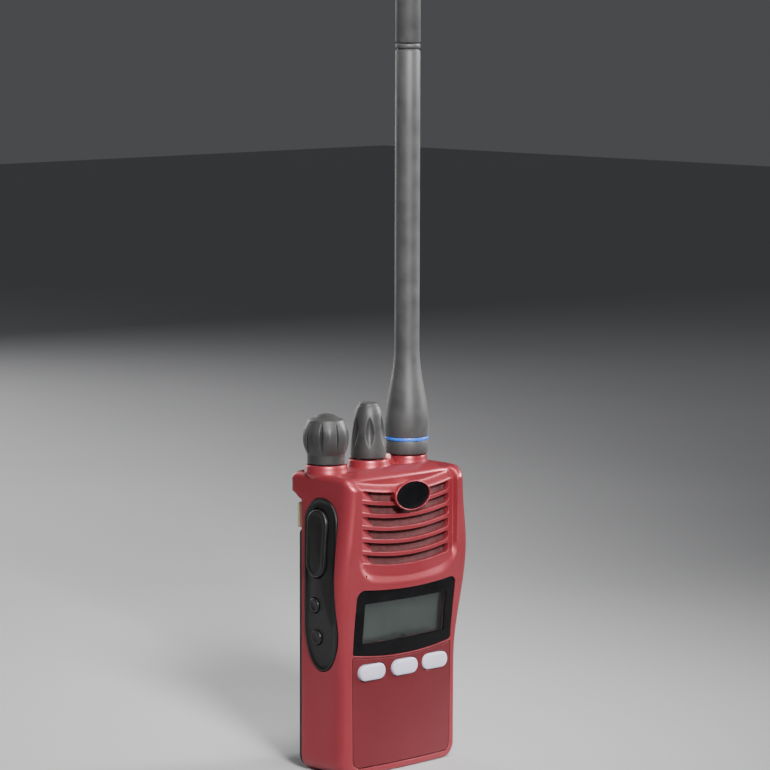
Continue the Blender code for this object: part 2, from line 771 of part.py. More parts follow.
def make_badge():
    """An oval plate that sits in a rimmed seat over the top slots."""
    rings = []
    for y, shrink in ((BADGE_REAR - GAP, 0.0), (BADGE_FRONT + 0.25, 0.0), (BADGE_FRONT + 0.05, 0.2), (BADGE_FRONT, 0.6)):
        half = (BADGE_HALF[0] - 0.9 - shrink, BADGE_HALF[1] - 0.75 - shrink)
        rings.append([(u, y, v) for u, v in ellipse(0.0, BADGE_Z, half[0], half[1])])
    return smooth(make_object("badge", *loft(rings), "gloss_black"))


def make_display():
    """The arched lens, the flat panel behind it and the holder that carries the panel."""
    lens = prism("display_lens", lens_outline(), "Y", -4.0, 6.0, "clear_lens")
    tilt_display(keep_inside(lens, bowed_slab(0.0, LENS_THICKNESS)))
    tilt_display(box("lcd_panel", (-20.9, LCD_DEPTH, -8.4), (20.9, LCD_DEPTH + 0.8, 8.4), "lcd_glass"))
    holder = box("lcd_holder", (-21.9, LCD_DEPTH + 0.1, -9.4), (21.9, LCD_DEPTH + 1.5, 9.4), "black_plastic")
    cut(holder, box("seat", (-21.2, -2.0, -8.7), (21.2, LCD_DEPTH + 1.1, 8.7)))
    tilt_display(holder)


def make_keys():
    """Three oval keys, the rubber mat that they press and the board behind it."""
    for name, x in KEY_XS.items():
        front = front_y(KEY_Z) + bow(x)
        rings = []
        for y, scale in ((KEY_REAR_Y, 1.0), (front - 0.55 * KEY_PROUD, 1.0), (front - 0.9 * KEY_PROUD, 0.965),
                         (front - KEY_PROUD, 0.89)):
            half = (KEY_LENGTH * scale, KEY_HEIGHT * scale)
            rings.append([(u, y, v) for u, v in oval(x, KEY_Z, half[0], half[1], 8)])
        smooth(make_object("key_" + name, *loft(rings), "key_plastic", (x, KEY_REAR_Y, KEY_Z)))
    prism("key_mat", rounded((-23.0, 32.0), (23.0, 41.0), 2.0), "Y", *KEY_MAT_Y, "black_rubber")
    prism("key_board", rounded((-22.8, 30.0), (22.8, 59.5), 1.5), "Y", *KEY_BOARD_Y, "board")


# ---------------------------------------------------------------- side pieces

def make_side_pad():
    pad = skin("side_pad", pad_outline(), "X", 33.0, 103.0, -0.35, 0.9, "black_rubber", -1.0)
    cut(pad, prism("ptt_window", oval(PTT_Y, PTT_Z, PTT_WIDTH + 0.7, PTT_HEIGHT + 0.7, 8), "X", -40.0, -20.0))
    for y, z in SIDE_KEY_YZ.values():
        cut(pad, prism("side_window", circle(y, z, SIDE_KEY_RADIUS + GAP, 16), "X", -40.0, -20.0))
    return pad


def make_side_buttons():
    origin = (-side_x(PTT_Y, PTT_Z), PTT_Y, PTT_Z)
    skin("ptt_button", oval(PTT_Y, PTT_Z, PTT_WIDTH, PTT_HEIGHT, 8), "X", 66.0, 99.0, -1.3, 1.0,
         "black_rubber", -1.0, origin)
    for name, (y, z) in SIDE_KEY_YZ.items():
        skin("side_key_" + name, circle(y, z, SIDE_KEY_RADIUS, 16), "X", z - 6.0, z + 6.0, -1.0, 1.1,
             "black_rubber", -1.0, (-side_x(y, z), y, z))
    flex_outline = rounded((-5.2, 44.5), (2.6, 92.6), 1.0, 2)
    skin("side_flex", flex_outline, "X", 40.0, 96.0, WALL + 0.45, WALL + 0.75, "board", -1.0)


def cover_hinge():
    """The jack cover's hinge line, just outside the side wall."""
    z = (COVER_LOW_Z + COVER_HIGH_Z) / 2.0
    return (side_x(COVER_HINGE_Y, z) + 0.5, COVER_HINGE_Y, z)


def make_jack_pieces():
    skin("jack_cover", cover_outline(), "X", 50.0, 86.0, -0.5, 0.95, "black_rubber", 1.0, cover_hinge())
    low, high = JACK_BLOCK_X
    block = box("accessory_jacks", (low, JACK_Y - 2.6, JACK_ZS[0] - 3.2), (high, JACK_Y + 2.3, JACK_ZS[1] + 2.5))
    for z, radius in zip(JACK_ZS, (1.8, 1.3)):
        cut(block, cylinder("bore", (JACK_Y, z), radius, "X", low + 1.0, high + 4.0))


# ---------------------------------------------------------------- deck: knobs, antenna, LED

def make_control(name, x, body_z):
    """A rotary control: body with its threaded bushing, nut and turning shaft."""
    body = box(name, (x - 3.9, DECK_Y - 4.4, body_z), (x + 4.2, DECK_Y + 3.3, 101.6), "die_cast")
    join(body, cylinder("bushing", (x, DECK_Y), BUSHING_R, "Z", 101.0, BUSHING_TOP, steps=20))
    cut(body, cylinder("bore", (x, DECK_Y), SHAFT_R + 0.25, "Z", body_z + 2.0, BUSHING_TOP + 2.0, steps=20))


def make_nut(name, x):
    nut = prism(name, hexagon(x, DECK_Y, 9.0), "Z", NUT_SEAT_Z + GAP, NUT_SEAT_Z + 2.0, "brass")
    cut(nut, cylinder("thread", (x, DECK_Y), BUSHING_R + 0.15, "Z", 100.0, 112.0, steps=20))


def make_shaft(name, x, low, high):
    shaft = cylinder(name, (x, DECK_Y), SHAFT_R, "Z", low, high, "steel", 18)
    flat = box("flat", (x - 4.0, DECK_Y + SHAFT_R - 0.9, 111.0), (x + 4.0, DECK_Y + 6.0, high + 2.0))
    cut(shaft, flat)


def knob_bore(shaft_top, deep):
    """The underside of a knob, from the bore's end out to the rim."""
    return [(0.0, shaft_top + 0.4), (SHAFT_R + 0.3, shaft_top + 0.4), (SHAFT_R + 0.3, deep), (5.0, deep)]


def make_volume_knob():
    """A bulb-shaped knob with six lens-shaped scallops between its ribs."""
    bottom = COLLAR_TOP + GAP
    low, high = 112.4, 125.4

    def scalloped(radius, z, angle):
        if not low < z < high or radius < 5.0:
            return radius
        length = math.sin(math.pi * (z - low) / (high - low))
        width = math.radians(13.0) * length
        share = math.remainder(angle, math.radians(60.0)) / max(width, 1e-6)
        return radius - 1.3 * length * max(0.0, 1.0 - share * share)

    profile = knob_bore(119.6, bottom + 1.0) + [
        (5.0, bottom), (6.3, bottom), (6.65, bottom + 0.4), (6.65, 112.0), (6.85, 112.9), (7.4, 114.2),
        (7.95, 115.9), (8.2, 117.6), (8.22, 119.3), (7.95, 121.0), (7.3, 122.8), (6.3, 124.4), (5.2, 125.5),
        (4.9, 126.1), (3.9, 126.7), (2.1, 127.1), (0.0, 127.25)]
    lathe("volume_knob", profile, (VOLUME_X, DECK_Y), "black_rubber", 36, scalloped)
    make_shaft("volume_shaft", VOLUME_X, 96.0, 119.6)


def make_channel_knob():
    """A tapered knob with finger dimples on its sides."""
    bottom = COLLAR_TOP + GAP
    low, high = 112.6, 126.0

    def dimpled(radius, z, angle):
        if not low < z < high or radius < 3.9:
            return radius
        length = math.sin(math.pi * (z - low) / (high - low)) ** 0.7
        share = math.remainder(angle - math.radians(20.0), math.radians(90.0)) / math.radians(26.0)
        return radius - 0.95 * length * max(0.0, 1.0 - share * share)

    profile = knob_bore(121.2, bottom + 1.0) + [
        (5.0, bottom), (6.0, bottom), (6.4, bottom + 0.4), (6.35, 112.2), (6.25, 114.0), (6.1, 116.5), (5.9, 119.0),
        (5.65, 121.5), (5.35, 124.0), (5.0, 126.3), (4.65, 127.6), (3.9, 128.7), (2.6, 129.3), (0.0, 129.55)]
    lathe("channel_knob", profile, (CHANNEL_X, DECK_Y), "black_rubber", 32, dimpled)
    make_shaft("channel_shaft", CHANNEL_X, 96.0, 121.2)


def make_antenna():
    """A rubber whip with a swollen base, a coloured band, an inner wire and a closed tip."""
    centre = (ANTENNA_X, DECK_Y)
    bore = 2.5
    base = ANTENNA_BASE_Z
    outer = [(bore, base + 9.0), (4.6, base + 9.0), (4.6, base), (7.5, base), (7.8, base + 0.35), (7.8, RING_LOW_Z - 0.3),
             (7.35, RING_LOW_Z - 0.3), (7.35, RING_HIGH_Z + 0.3), (7.8, RING_HIGH_Z + 0.3), (7.8, 121.0)]
    flare = 9
    low_z, high_z = 123.0, 147.5
    for i in range(flare + 1):
        share = i / flare
        outer.append((7.75 - (7.75 - WHIP_R) * ease(share, -0.08, 1.0) ** 0.93, low_z + (high_z - low_z) * share))
    groove = WHIP_R - 0.6
    outer += [(WHIP_R, 200.0), (WHIP_R, GROOVE_LOW_Z), (groove, GROOVE_LOW_Z + 0.1), (groove, GROOVE_LOW_Z + 0.7),
              (WHIP_R, GROOVE_LOW_Z + 0.8),
              (WHIP_R, TIP_LOW_Z - GAP), (1.3, TIP_LOW_Z - GAP), (1.3, base + 16.0), (bore, base + 16.0)]
    lathe("antenna_whip", outer, centre, "black_rubber", 24, closed=True)
    band = [(7.45, RING_LOW_Z), (7.92, RING_LOW_Z), (7.92, RING_HIGH_Z), (7.45, RING_HIGH_Z)]
    lathe("antenna_ring", band, centre, "blue_plastic", 24, closed=True)
    tip = [(0.0, TIP_LOW_Z + 20.0), (1.3, TIP_LOW_Z + 20.0), (1.3, TIP_LOW_Z), (WHIP_R - 0.6, TIP_LOW_Z),
           (WHIP_R, TIP_LOW_Z + 0.2), (WHIP_R, ANTENNA_TOP_Z - 3.0), (WHIP_R - 0.6, ANTENNA_TOP_Z - 1.4),
           (WHIP_R - 2.0, ANTENNA_TOP_Z - 0.3), (0.0, ANTENNA_TOP_Z)]
    lathe("antenna_tip", tip, centre, "black_rubber", 24)
    core = [(0.0, base + 16.4), (1.0, base + 16.4), (1.0, TIP_LOW_Z + 19.0), (0.0, TIP_LOW_Z + 19.0)]
    lathe("antenna_core", core, centre, "steel", 12)
    stud = [(0.0, 104.6), (1.9, 104.6), (2.2, 105.0), (2.2, base + 15.8), (0.0, base + 15.8)]
    lathe("antenna_stud", stud, centre, "brass", 18)
    socket = [(0.0, 102.6), (6.4, 102.6), (6.4, 103.9), (BUSHING_R, 103.9), (BUSHING_R, 116.5), (2.45, 116.5),
              (2.45, 103.6), (0.0, 103.6)]
    lathe("antenna_socket", socket, centre, "brass", 20)


def make_led():
    profile = [(0.0, 103.0), (LED_R, 103.0), (LED_R, LED_TOP - 0.9), (LED_R - 0.25, LED_TOP - 0.4),
               (0.7, LED_TOP - 0.08), (0.0, LED_TOP)]
    lathe("led_lens", profile, (LED_X, DECK_Y), "led_plastic", 14)


# ---------------------------------------------------------------- inside the case

def make_speaker():
    """Cloth behind the grille, then the speaker's frame, cone and magnet."""
    cloth_outline = face_outline(22.4, 22.4, 73.6, 101.9, 0.0, 0.0, 3.0, 3.0)
    sheet = prism("grille_cloth", cloth_outline, "Y", -20.0, -5.0, "cloth")
    keep_inside(sheet, slice_solid(60.0, 104.0, 0.0, GRILLE_INNER_Y + GAP, 4.0))
    cut(sheet, slice_solid(60.0, 104.0, 0.0, GRILLE_INNER_Y + GAP + 0.5, 4.0))
    rear = BOARD_FRONT_Y - 0.5
    front = SPEAKER_FRONT_Y
    turned = {
        "speaker_frame": ([(SPEAKER_R, front), (SPEAKER_R, front + 1.2), (15.6, front + 1.2), (10.6, front + 3.8),
                           (10.6, front + 4.7), (9.6, front + 4.7), (9.6, front + 3.2), (15.0, front + 0.4),
                           (15.0, front)], "steel", True),
        "speaker_cone": ([(0.0, front + 1.0), (4.0, front + 1.2), (6.0, front + 2.5), (14.6, front + 0.2),
                          (14.6, front - 0.1), (6.0, front + 2.1), (4.0, front + 0.8), (0.0, front + 0.6)],
                         "paper_cone", False),
        "speaker_magnet": ([(0.0, rear), (9.2, rear), (9.2, front + 3.3), (0.0, front + 3.3)], "die_cast", False),
    }
    lift = Matrix.Translation((0.0, 0.0, SPEAKER_Z * MM))
    lay_down = Matrix.Rotation(math.radians(90.0), 4, "X") @ Matrix.Scale(-1.0, 4, (0.0, 0.0, 1.0))
    for name, (profile, finish, closed) in turned.items():
        piece = lathe(name, profile, (0.0, 0.0), finish, 28, closed=closed, origin=(0.0, 0.0, 0.0))
        piece.data.transform(lift @ lay_down)
        turn_faces_out(piece.data)
        smooth(piece)
    cylinder("microphone", (MIC_X, MIC_Z), MICROPHONE_R, "Y", *MICROPHONE_Y, "steel", 18)


def make_boards():
    board = prism("main_board", rounded((-23.2, 6.0), (23.2, 101.0), 2.5), "Y", BOARD_FRONT_Y, BOARD_REAR_Y, "board")
    for x, z in SCREW_PLACES:
        cut(board, cylinder("hole", (x, z), 1.5, "Y", -10.0, 0.0, steps=12))
    can = box("shield_can", (-17.0, BOARD_REAR_Y + 0.1, 16.0), (17.0, PLATE_FRONT_Y - GAP, 52.0), "steel")
    cut(can, box("inside", (-16.5, BOARD_REAR_Y - 2.0, 16.5), (16.5, PLATE_FRONT_Y - GAP - 0.4, 51.5)))


def chamfered_plate(half, low, high, corner):
    return [(-half + corner, low), (half - corner, low), (half, low + corner), (half, high), (-half, high),
            (-half, low + corner)]


def make_chassis():
    """The die-cast plate in front of the battery, its step over the battery and the latch lugs."""
    chassis = prism("rear_chassis", chamfered_plate(PLATE_HALF_WIDTH, 2.7, 86.0, 3.0), "Y", PLATE_FRONT_Y, PLATE_REAR_Y,
                    "die_cast")
    join(chassis, box("step", (-PLATE_HALF_WIDTH, PLATE_FRONT_Y + 0.5, 84.4), (PLATE_HALF_WIDTH, 7.4, 86.0)))
    join(chassis, box("wall", (-25.4, 5.9, 84.9), (25.4, 7.7, 94.2)))
    for x in (-LUG_X, LUG_X):
        join(chassis, box("lug", (x - 1.5, 7.2, LATCH_PIN_Z - 1.7), (x + 1.5, 10.7, LATCH_PIN_Z + 1.55)))
    for x, z in SCREW_PLACES:
        cut(chassis, cylinder("hole", (x, z), 1.4, "Y", -10.0, 4.0, steps=12))
        cut(chassis, cylinder("head", (x, z), 2.8, "Y", PLATE_REAR_Y - 1.3, 4.0, steps=16))
    cut(chassis, cylinder("pin_hole", (LATCH_PIN_Y, LATCH_PIN_Z), 0.95, "X", -30.0, 30.0))
    seal_outer = chamfered_plate(PLATE_HALF_WIDTH - 0.6, 3.2, 85.4, 3.0)
    seal = prism("main_seal", seal_outer, "Y", PLATE_FRONT_Y - 1.3, PLATE_FRONT_Y - 0.1, "black_rubber")
    cut(seal, prism("inside", grow(seal_outer, -0.85), "Y", -10.0, 0.0))


def make_screws():
    """Cross-head screws from the battery bay, through the chassis and board, into the posts."""
    for number, (x, z) in enumerate(SCREW_PLACES, 1):
        screw = cylinder("case_screw_%d" % number, (x, z), 2.5, "Y", PLATE_REAR_Y - 1.2, PLATE_REAR_Y, "steel", 16)
        join(screw, cylinder("shank", (x, z), 0.95, "Y", -10.2, PLATE_REAR_Y - 0.6, steps=10))
        cut(screw, box("slot_a", (x - 1.5, PLATE_REAR_Y - 0.6, z - 0.25), (x + 1.5, 2.0, z + 0.25)))
        cut(screw, box("slot_b", (x - 0.25, PLATE_REAR_Y - 0.6, z - 1.5), (x + 0.25, 2.0, z + 1.5)))


# ---------------------------------------------------------------- battery and latch

def make_latch():
    """A bar across the back, under the head, that swings out on a cross pin."""
    section = [(8.1, 88.2), (9.4, 86.5), (10.4, 86.3), (10.9, 86.9), (10.9, 94.6), (10.4, 95.4), (9.6, 95.5),
               (8.1, 92.8)]
    origin = (0.0, LATCH_PIN_Y, LATCH_PIN_Z)
    latch = prism("battery_latch", section, "X", -LATCH_HALF_WIDTH, LATCH_HALF_WIDTH, "tan_plastic", origin)
    for x in (-LUG_X, LUG_X):
        cut(latch, box("notch", (x - 1.9, 6.0, 90.3), (x + 1.9, 12.0, 97.0)))
    cut(latch, cylinder("pin_hole", (LATCH_PIN_Y, LATCH_PIN_Z), 0.98, "X", -20.4, 20.4))
    cylinder("latch_pin", (LATCH_PIN_Y, LATCH_PIN_Z), 0.75, "X", -20.0, 20.0, "steel", 14)


def battery_section(z):
    """The cover's outline: full width at the case, with long chamfers to a flat back."""
    corner = quarter(max(z - 0.4, 0.0), BASE_CORNER_R - 0.4)
    wide = REAR_HALF_WIDTH - 0.4 - corner
    narrow = 22.6 - corner
    return [(wide, REAR_Y + 0.35, z), (wide, 8.9, z), (narrow + 0.4, BATTERY_REAR_Y - 0.15, z), (narrow - 0.6, BATTERY_REAR_Y, z),
            (-narrow + 0.6, BATTERY_REAR_Y, z), (-narrow - 0.4, BATTERY_REAR_Y - 0.15, z), (-wide, 8.9, z),
            (-wide, REAR_Y + 0.35, z)]


def make_battery():
    tray_outline = chamfered_plate(BATTERY_HALF_WIDTH, 2.8, BATTERY_TOP_Z, 3.2)
    tray = prism("battery_tray", tray_outline, "Y", BATTERY_FRONT_Y, REAR_Y, "black_plastic")
    cut(tray, prism("inside", grow(tray_outline, -1.4), "Y", BATTERY_FRONT_Y + 1.3, 20.0))
    levels = [0.4, 1.0, 2.2, 4.0, BASE_CORNER_R, 40.0, 84.6, 85.6]
    rings = [battery_section(z) for z in levels]
    top = [(x * 0.985, y if y < REAR_Y + 1.5 else y - 0.6, z) for x, y, z in rings[-1]]
    cover = make_object("battery_cover", *loft(rings[:-1] + [top]), "black_plastic")
    cut(cover, prism("inside", grow(tray_outline, -1.6), "Y", 0.0, 11.8))
    for name, low, high in (("left", -22.4, -GAP), ("right", GAP, 22.4)):
        prism("cell_" + name, rounded((low, 6.2), (high, 78.0), 2.0, 3), "Y", 1.3, 11.4, "cell_wrap")
    for name, x in (("plus", -9.0), ("minus", 9.0)):
        hole = box("hole", (x - 2.3, -4.0, 79.2), (x + 2.3, 2.0, 82.0))
        cut(tray, hole)
        box("battery_contact_" + name, (x - 2.0, BATTERY_FRONT_Y + 0.2, 79.5), (x + 2.0, 1.5, 81.7), "gold")
    box("chassis_contacts", (-12.6, PLATE_REAR_Y - 0.9, 78.6), (12.6, BATTERY_FRONT_Y - 0.2, 82.6), "black_plastic")
    cut(bpy.data.objects["rear_chassis"], box("window", (-13.0, -8.0, 78.2), (13.0, 0.0, 83.0)))


def main():
    clear_scene()
    make_front_housing()
    make_lower_panel()
    make_badge()
    make_display()
    make_keys()
    make_side_pad()
    make_side_buttons()
    make_jack_pieces()
    make_control("volume_pot", VOLUME_X, 93.4)
    make_control("channel_switch", CHANNEL_X, 91.0)
    make_nut("volume_nut", VOLUME_X)
    make_nut("channel_nut", CHANNEL_X)
    make_volume_knob()
    make_channel_knob()
    make_antenna()
    make_led()
    make_speaker()
    make_boards()
    make_chassis()
    make_screws()
    make_latch()
    make_battery()


main()
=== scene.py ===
"""Looks for the portable radio: fine surface pieces, materials, studio light and camera."""
import json
import math

import bmesh
import bpy
from mathutils import Matrix, Vector


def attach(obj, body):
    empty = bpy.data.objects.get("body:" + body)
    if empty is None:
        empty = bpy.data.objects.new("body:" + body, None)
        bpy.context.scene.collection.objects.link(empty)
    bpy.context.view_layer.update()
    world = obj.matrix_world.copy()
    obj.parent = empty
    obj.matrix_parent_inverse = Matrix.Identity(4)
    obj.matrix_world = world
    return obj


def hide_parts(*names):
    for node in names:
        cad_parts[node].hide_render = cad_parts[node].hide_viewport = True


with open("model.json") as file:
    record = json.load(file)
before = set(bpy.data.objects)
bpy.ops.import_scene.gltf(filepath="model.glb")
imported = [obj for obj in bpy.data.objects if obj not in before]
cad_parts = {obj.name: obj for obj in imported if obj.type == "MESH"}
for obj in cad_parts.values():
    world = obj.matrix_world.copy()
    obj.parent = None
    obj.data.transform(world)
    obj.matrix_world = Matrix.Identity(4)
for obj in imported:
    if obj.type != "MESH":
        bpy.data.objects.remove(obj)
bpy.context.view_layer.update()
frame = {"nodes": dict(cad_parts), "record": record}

NODES = frame["nodes"]
MM = 0.001

# Sizes in millimetres, the same as the solids'. X is right, Y is back, Z is up.
BODY_TOP = 106.4
FRONT_LOW_Y = -15.6
FRONT_STEP = 4.1
STEP_LOW_Z, STEP_HIGH_Z = 38.0, 84.0
FACE_RADIUS = 230.0
HALF_WIDTH_LOW = 28.6
HALF_WIDTH_GAIN = 3.0
WIDEN_LOW_Z, WIDEN_HIGH_Z = 34.0, 70.0
HEAD_TAPER = 2.6
HEAD_TAPER_LOW_Z, HEAD_TAPER_HIGH_Z = 72.0, 102.0
REAR_HALF_WIDTH = 28.3
REAR_Y = 8.0
HEAD_REAR_Y = 13.9
HEAD_LOW_Z, HEAD_FULL_Z = 96.6, 99.4
CORNER_DEPTH, CORNER_WIDTH, CORNER_WIDTH_GAIN = 5.0, 2.8, 0.9
REAR_CORNER_R, HEAD_CORNER_R = 0.8, 2.6
BASE_CORNER_R, BASE_LIP_R = 5.5, 1.5
TOP_EDGE_R = 2.6
COLUMN_TOP_R = 4.4
CREST_RISE, SCOOP_DROP, SHOULDER_DROP = 1.1, 1.1, 1.3
CREST_DEPTH, CREST_HEIGHT = 4.4, 2.1
LEDGE_LOW_Z, LEDGE_HIGH_Z, LEDGE_DEPTH = 99.4, 102.3, 2.3
SLOT_HALF_WIDTH = 21.3
WALL = 2.2
GRILLE_INNER_Y = -15.9
RECESS_FLOOR_Y = -17.7
RECESS_HALF_WIDTH = 23.3
RECESS_LOW_Z = 69.8
RECESS_SAG = 3.1
RECESS_CORNER_R = 6.0
RECESS_FREE_Z = 60.0
MICROPHONE_HOLE = (-20.7, 71.3, 0.5)
RECESS_SIDE_SLOPE, RECESS_LOW_SLOPE, RECESS_TOP_SLOPE = 0.25, 3.6, 0.35
SLOT_COUNT, SLOT_TOP_Z, SLOT_PITCH, SLOT_HEIGHT = 6, 101.4, 4.47, 3.15
SMILE_SAG = 2.05
BADGE_Z = 98.2
BADGE_HALF = (8.8, 5.3)
BADGE_FRONT = -19.7
BADGE_PLATE_HALF = (8.25, 4.82)
DECK_Y = 2.0
VOLUME_X, CHANNEL_X, ANTENNA_X, LED_X = -21.7, -0.8, 18.5, 8.7
COLLAR_R, COLLAR_TOP = 7.2, 109.2
LENS_CENTRE = (0.0, -16.62, 54.1)
LENS_SLANT = math.radians(5.8)
LENS_THICKNESS = 1.1
WINDOW_HALF = (20.4, 7.2)
PANEL_HALF_WIDTH, PANEL_LOW_Z, PANEL_HIGH_Z, PANEL_SAG = 24.3, 2.9, 40.6, 1.8
PANEL_THICKNESS, GROOVE = 0.85, 0.35
KEY_XS = {"left": -15.6, "middle": 0.0, "right": 15.6}
KEY_Z, KEY_LENGTH, KEY_HEIGHT, KEY_PROUD = 36.55, 12.5, 5.7, 0.95
PAD_FRONT_Y, PAD_REAR_Y, PAD_LOW_Z, PAD_HIGH_Z, PAD_LOW_REACH = -12.0, 5.3, 37.0, 98.2, 16.0
PTT_Y, PTT_Z, PTT_WIDTH, PTT_HEIGHT = -1.85, 82.3, 10.7, 24.0
SIDE_KEYS = {"side_key_upper": (-0.9, 60.3, "side_button_upper"),
             "side_key_lower": (-1.4, 48.9, "side_button_lower")}
SIDE_KEY_R = 2.6
COVER_LOW, COVER_HIGH, COVER_CORNER_R = (-12.2, 63.0), (-4.2, 79.4), 2.4
JACK_Y, JACK_ZS, JACK_HOLE_R = -9.2, (68.2, 74.2), 2.6
NUT_POCKET_R, BUSH_HOLE_R, LED_HOLE_R = 5.4, 4.15, 1.7


# ---------------------------------------------------------------- mesh helpers

def make_object(name, points, faces, smooth_angle=35.0):
    """A closed object from points in millimetres, with its faces pointing out."""
    mesh = bpy.data.meshes.new(name)
    mesh.from_pydata([Vector(p) * MM for p in points], [], faces)
    work = bmesh.new()
    work.from_mesh(mesh)
    bmesh.ops.recalc_face_normals(work, faces=work.faces)
    if work.calc_volume(signed=True) < 0.0:
        bmesh.ops.reverse_faces(work, faces=work.faces)
    work.to_mesh(mesh)
    work.free()
    made = bpy.data.objects.new(name, mesh)
    bpy.context.scene.collection.objects.link(made)
    return smooth(made, smooth_angle)


def smooth(made, angle=35.0):
    made.data.shade_smooth()
    made.data.set_sharp_from_angle(angle=math.radians(angle))
    return made


def loft(rings, caps=True):
    """Join rings of equal length into one skin and close both ends."""
    count = len(rings[0])
    points = [point for ring in rings for point in ring]
    faces = []
    for level in range(len(rings) - 1):
        low = level * count
        for i in range(count):
            j = (i + 1) % count
            faces.append((low + i, low + j, low + count + j, low + count + i))
    if caps:
        faces.append(tuple(reversed(range(count))))
        faces.append(tuple(range(len(points) - count, len(points))))
    return points, faces


def place(u, v, depth, axis):
    if axis == "X":
        return (depth, u, v)
    if axis == "Y":
        return (u, depth, v)
    return (u, v, depth)


def prism(outline, axis, low, high, name="cutter", low_outline=None):
    """Extrude an outline along an axis, or blend from another outline at the low end."""
    first = low_outline or outline
    rings = [[place(u, v, low, axis) for u, v in first], [place(u, v, high, axis) for u, v in outline]]
    return make_object(name, *loft(rings))


def block(low, high, name="cutter"):
    outline = [(low[0], low[1]), (high[0], low[1]), (high[0], high[1]), (low[0], high[1])]
    return prism(outline, "Z", low[2], high[2], name)


def ellipse(u, v, half_u, half_v, steps=72):
    turn = 2.0 * math.pi / steps
    return [(u + half_u * math.cos(turn * i), v + half_v * math.sin(turn * i)) for i in range(steps)]


def circle(u, v, radius, steps=48):
    return ellipse(u, v, radius, radius, steps)


def oval(u, v, width, height, steps=20):
    """A racetrack outline: two half circles joined by straight sides."""
    radius = min(width, height) / 2.0
    reach_u, reach_v = width / 2.0 - radius, height / 2.0 - radius
    outline = []
    start = -90.0 if width >= height else 0.0
    for side, first in ((1.0, start), (-1.0, start + 180.0)):
        for i in range(steps + 1):
            angle = math.radians(first + 180.0 * i / steps)
            outline.append((u + side * reach_u + radius * math.cos(angle),
                            v + side * reach_v + radius * math.sin(angle)))
    return outline


def rounded(low, high, radius, steps=8):
    """A rectangle with round corners."""
    centres = ((high[0] - radius, low[1] + radius, -90.0), (high[0] - radius, high[1] - radius, 0.0),
               (low[0] + radius, high[1] - radius, 90.0), (low[0] + radius, low[1] + radius, 180.0))
    outline = []
    for u, v, first in centres:
        for i in range(steps + 1):
            angle = math.radians(first + 90.0 * i / steps)
            outline.append((u + radius * math.cos(angle), v + radius * math.sin(angle)))
    return outline


def grow(outline, amount):
    """Offset an outline outwards by an amount."""
    count = len(outline)
    area = sum(outline[i][0] * outline[(i + 1) % count][1] - outline[(i + 1) % count][0] * outline[i][1]
               for i in range(count))
    sign = 1.0 if area > 0 else -1.0
    grown = []
    for i in range(count):
        here = Vector(outline[i])
        along_in = (here - Vector(outline[i - 1])).normalized()
        along_out = (Vector(outline[(i + 1) % count]) - here).normalized()
        normal = Vector((along_in.y + along_out.y, -(along_in.x + along_out.x))).normalized() * sign
        square = max(normal.dot(Vector((along_in.y, -along_in.x)) * sign), 0.5)
        grown.append(tuple(here + normal * amount / square))
    return grown


def lathe(name, profile, centre, segments=96, shape=None, closed=False):
    """Turn a profile of (radius, z) about a vertical axis. A closed profile is a ring's section."""
    points, rows = [], []
    for radius, z in profile:
        if radius < 1e-6:
            rows.append([len(points)])
            points.append((centre[0], centre[1], z))
            continue
        row = []
        for i in range(segments):
            angle = 2.0 * math.pi * i / segments
            r = shape(radius, z, angle) if shape else radius
            row.append(len(points))
            points.append((centre[0] + r * math.cos(angle), centre[1] + r * math.sin(angle), z))
        rows.append(row)
    pairs = list(zip(rows, rows[1:])) + ([(rows[-1], rows[0])] if closed else [])
    faces = []
    for low, high in pairs:
        for i in range(segments):
            j = (i + 1) % segments
            if len(low) == 1:
                faces.append((low[0], high[j], high[i]))
            elif len(high) == 1:
                faces.append((low[i], low[j], high[0]))
            else:
                faces.append((low[i], low[j], high[j], high[i]))
    return make_object(name, points, faces)


def combine(target, tools, operation):
    """Apply Booleans one by one, then remove the tools."""
    for tool in tools:
        change = target.modifiers.new(operation.lower(), "BOOLEAN")
        change.operation = operation
        change.solver = "MANIFOLD"
        change.object = tool
    bpy.context.view_layer.update()
    result = target.evaluated_get(bpy.context.evaluated_depsgraph_get())
    mesh = bpy.data.meshes.new_from_object(result)
    target.modifiers.clear()
    plain = target.data
    target.data = mesh
    bpy.data.meshes.remove(plain)
    for tool in tools:
        bpy.data.objects.remove(tool, do_unlink=True)
    return smooth(target)


def cut(target, *tools):
    return combine(target, tools, "DIFFERENCE")


def join(target, *tools):
    return combine(target, tools, "UNION")


def keep_inside(target, *tools):
    return combine(target, tools, "INTERSECT")


def spread(low, high, steps):
    return [low + (high - low) * i / steps for i in range(steps + 1)]


def ease(value, low, high):
    t = min(max((value - low) / (high - low), 0.0), 1.0)
    return t * t * (3.0 - 2.0 * t)


def hump(value, middle, reach):
    return math.exp(-((value - middle) / reach) ** 2)


def quarter(distance, radius, depth=None):
    """How far a round edge has come in, at a distance short of the end."""
    if distance >= radius:
        return 0.0
    share = 1.0 - distance / radius
    return (depth or radius) * (1.0 - math.sqrt(1.0 - share * share))


def soft_max(a, b, blend):
    """The larger of two heights, with a small fillet where they meet."""
    half = max(blend - abs(a - b), 0.0) / blend
    return max(a, b) + half * half * blend * 0.25


# ---------------------------------------------------------------- the body's surface

def front_y(z):
    return FRONT_LOW_Y - FRONT_STEP * ease(z, STEP_LOW_Z, STEP_HIGH_Z)


def bow(x):
    return x * x / (2.0 * FACE_RADIUS)


def half_width(z):
    widened = HALF_WIDTH_GAIN * ease(z, WIDEN_LOW_Z, WIDEN_HIGH_Z)
    return HALF_WIDTH_LOW + widened - HEAD_TAPER * ease(z, HEAD_TAPER_LOW_Z, HEAD_TAPER_HIGH_Z)


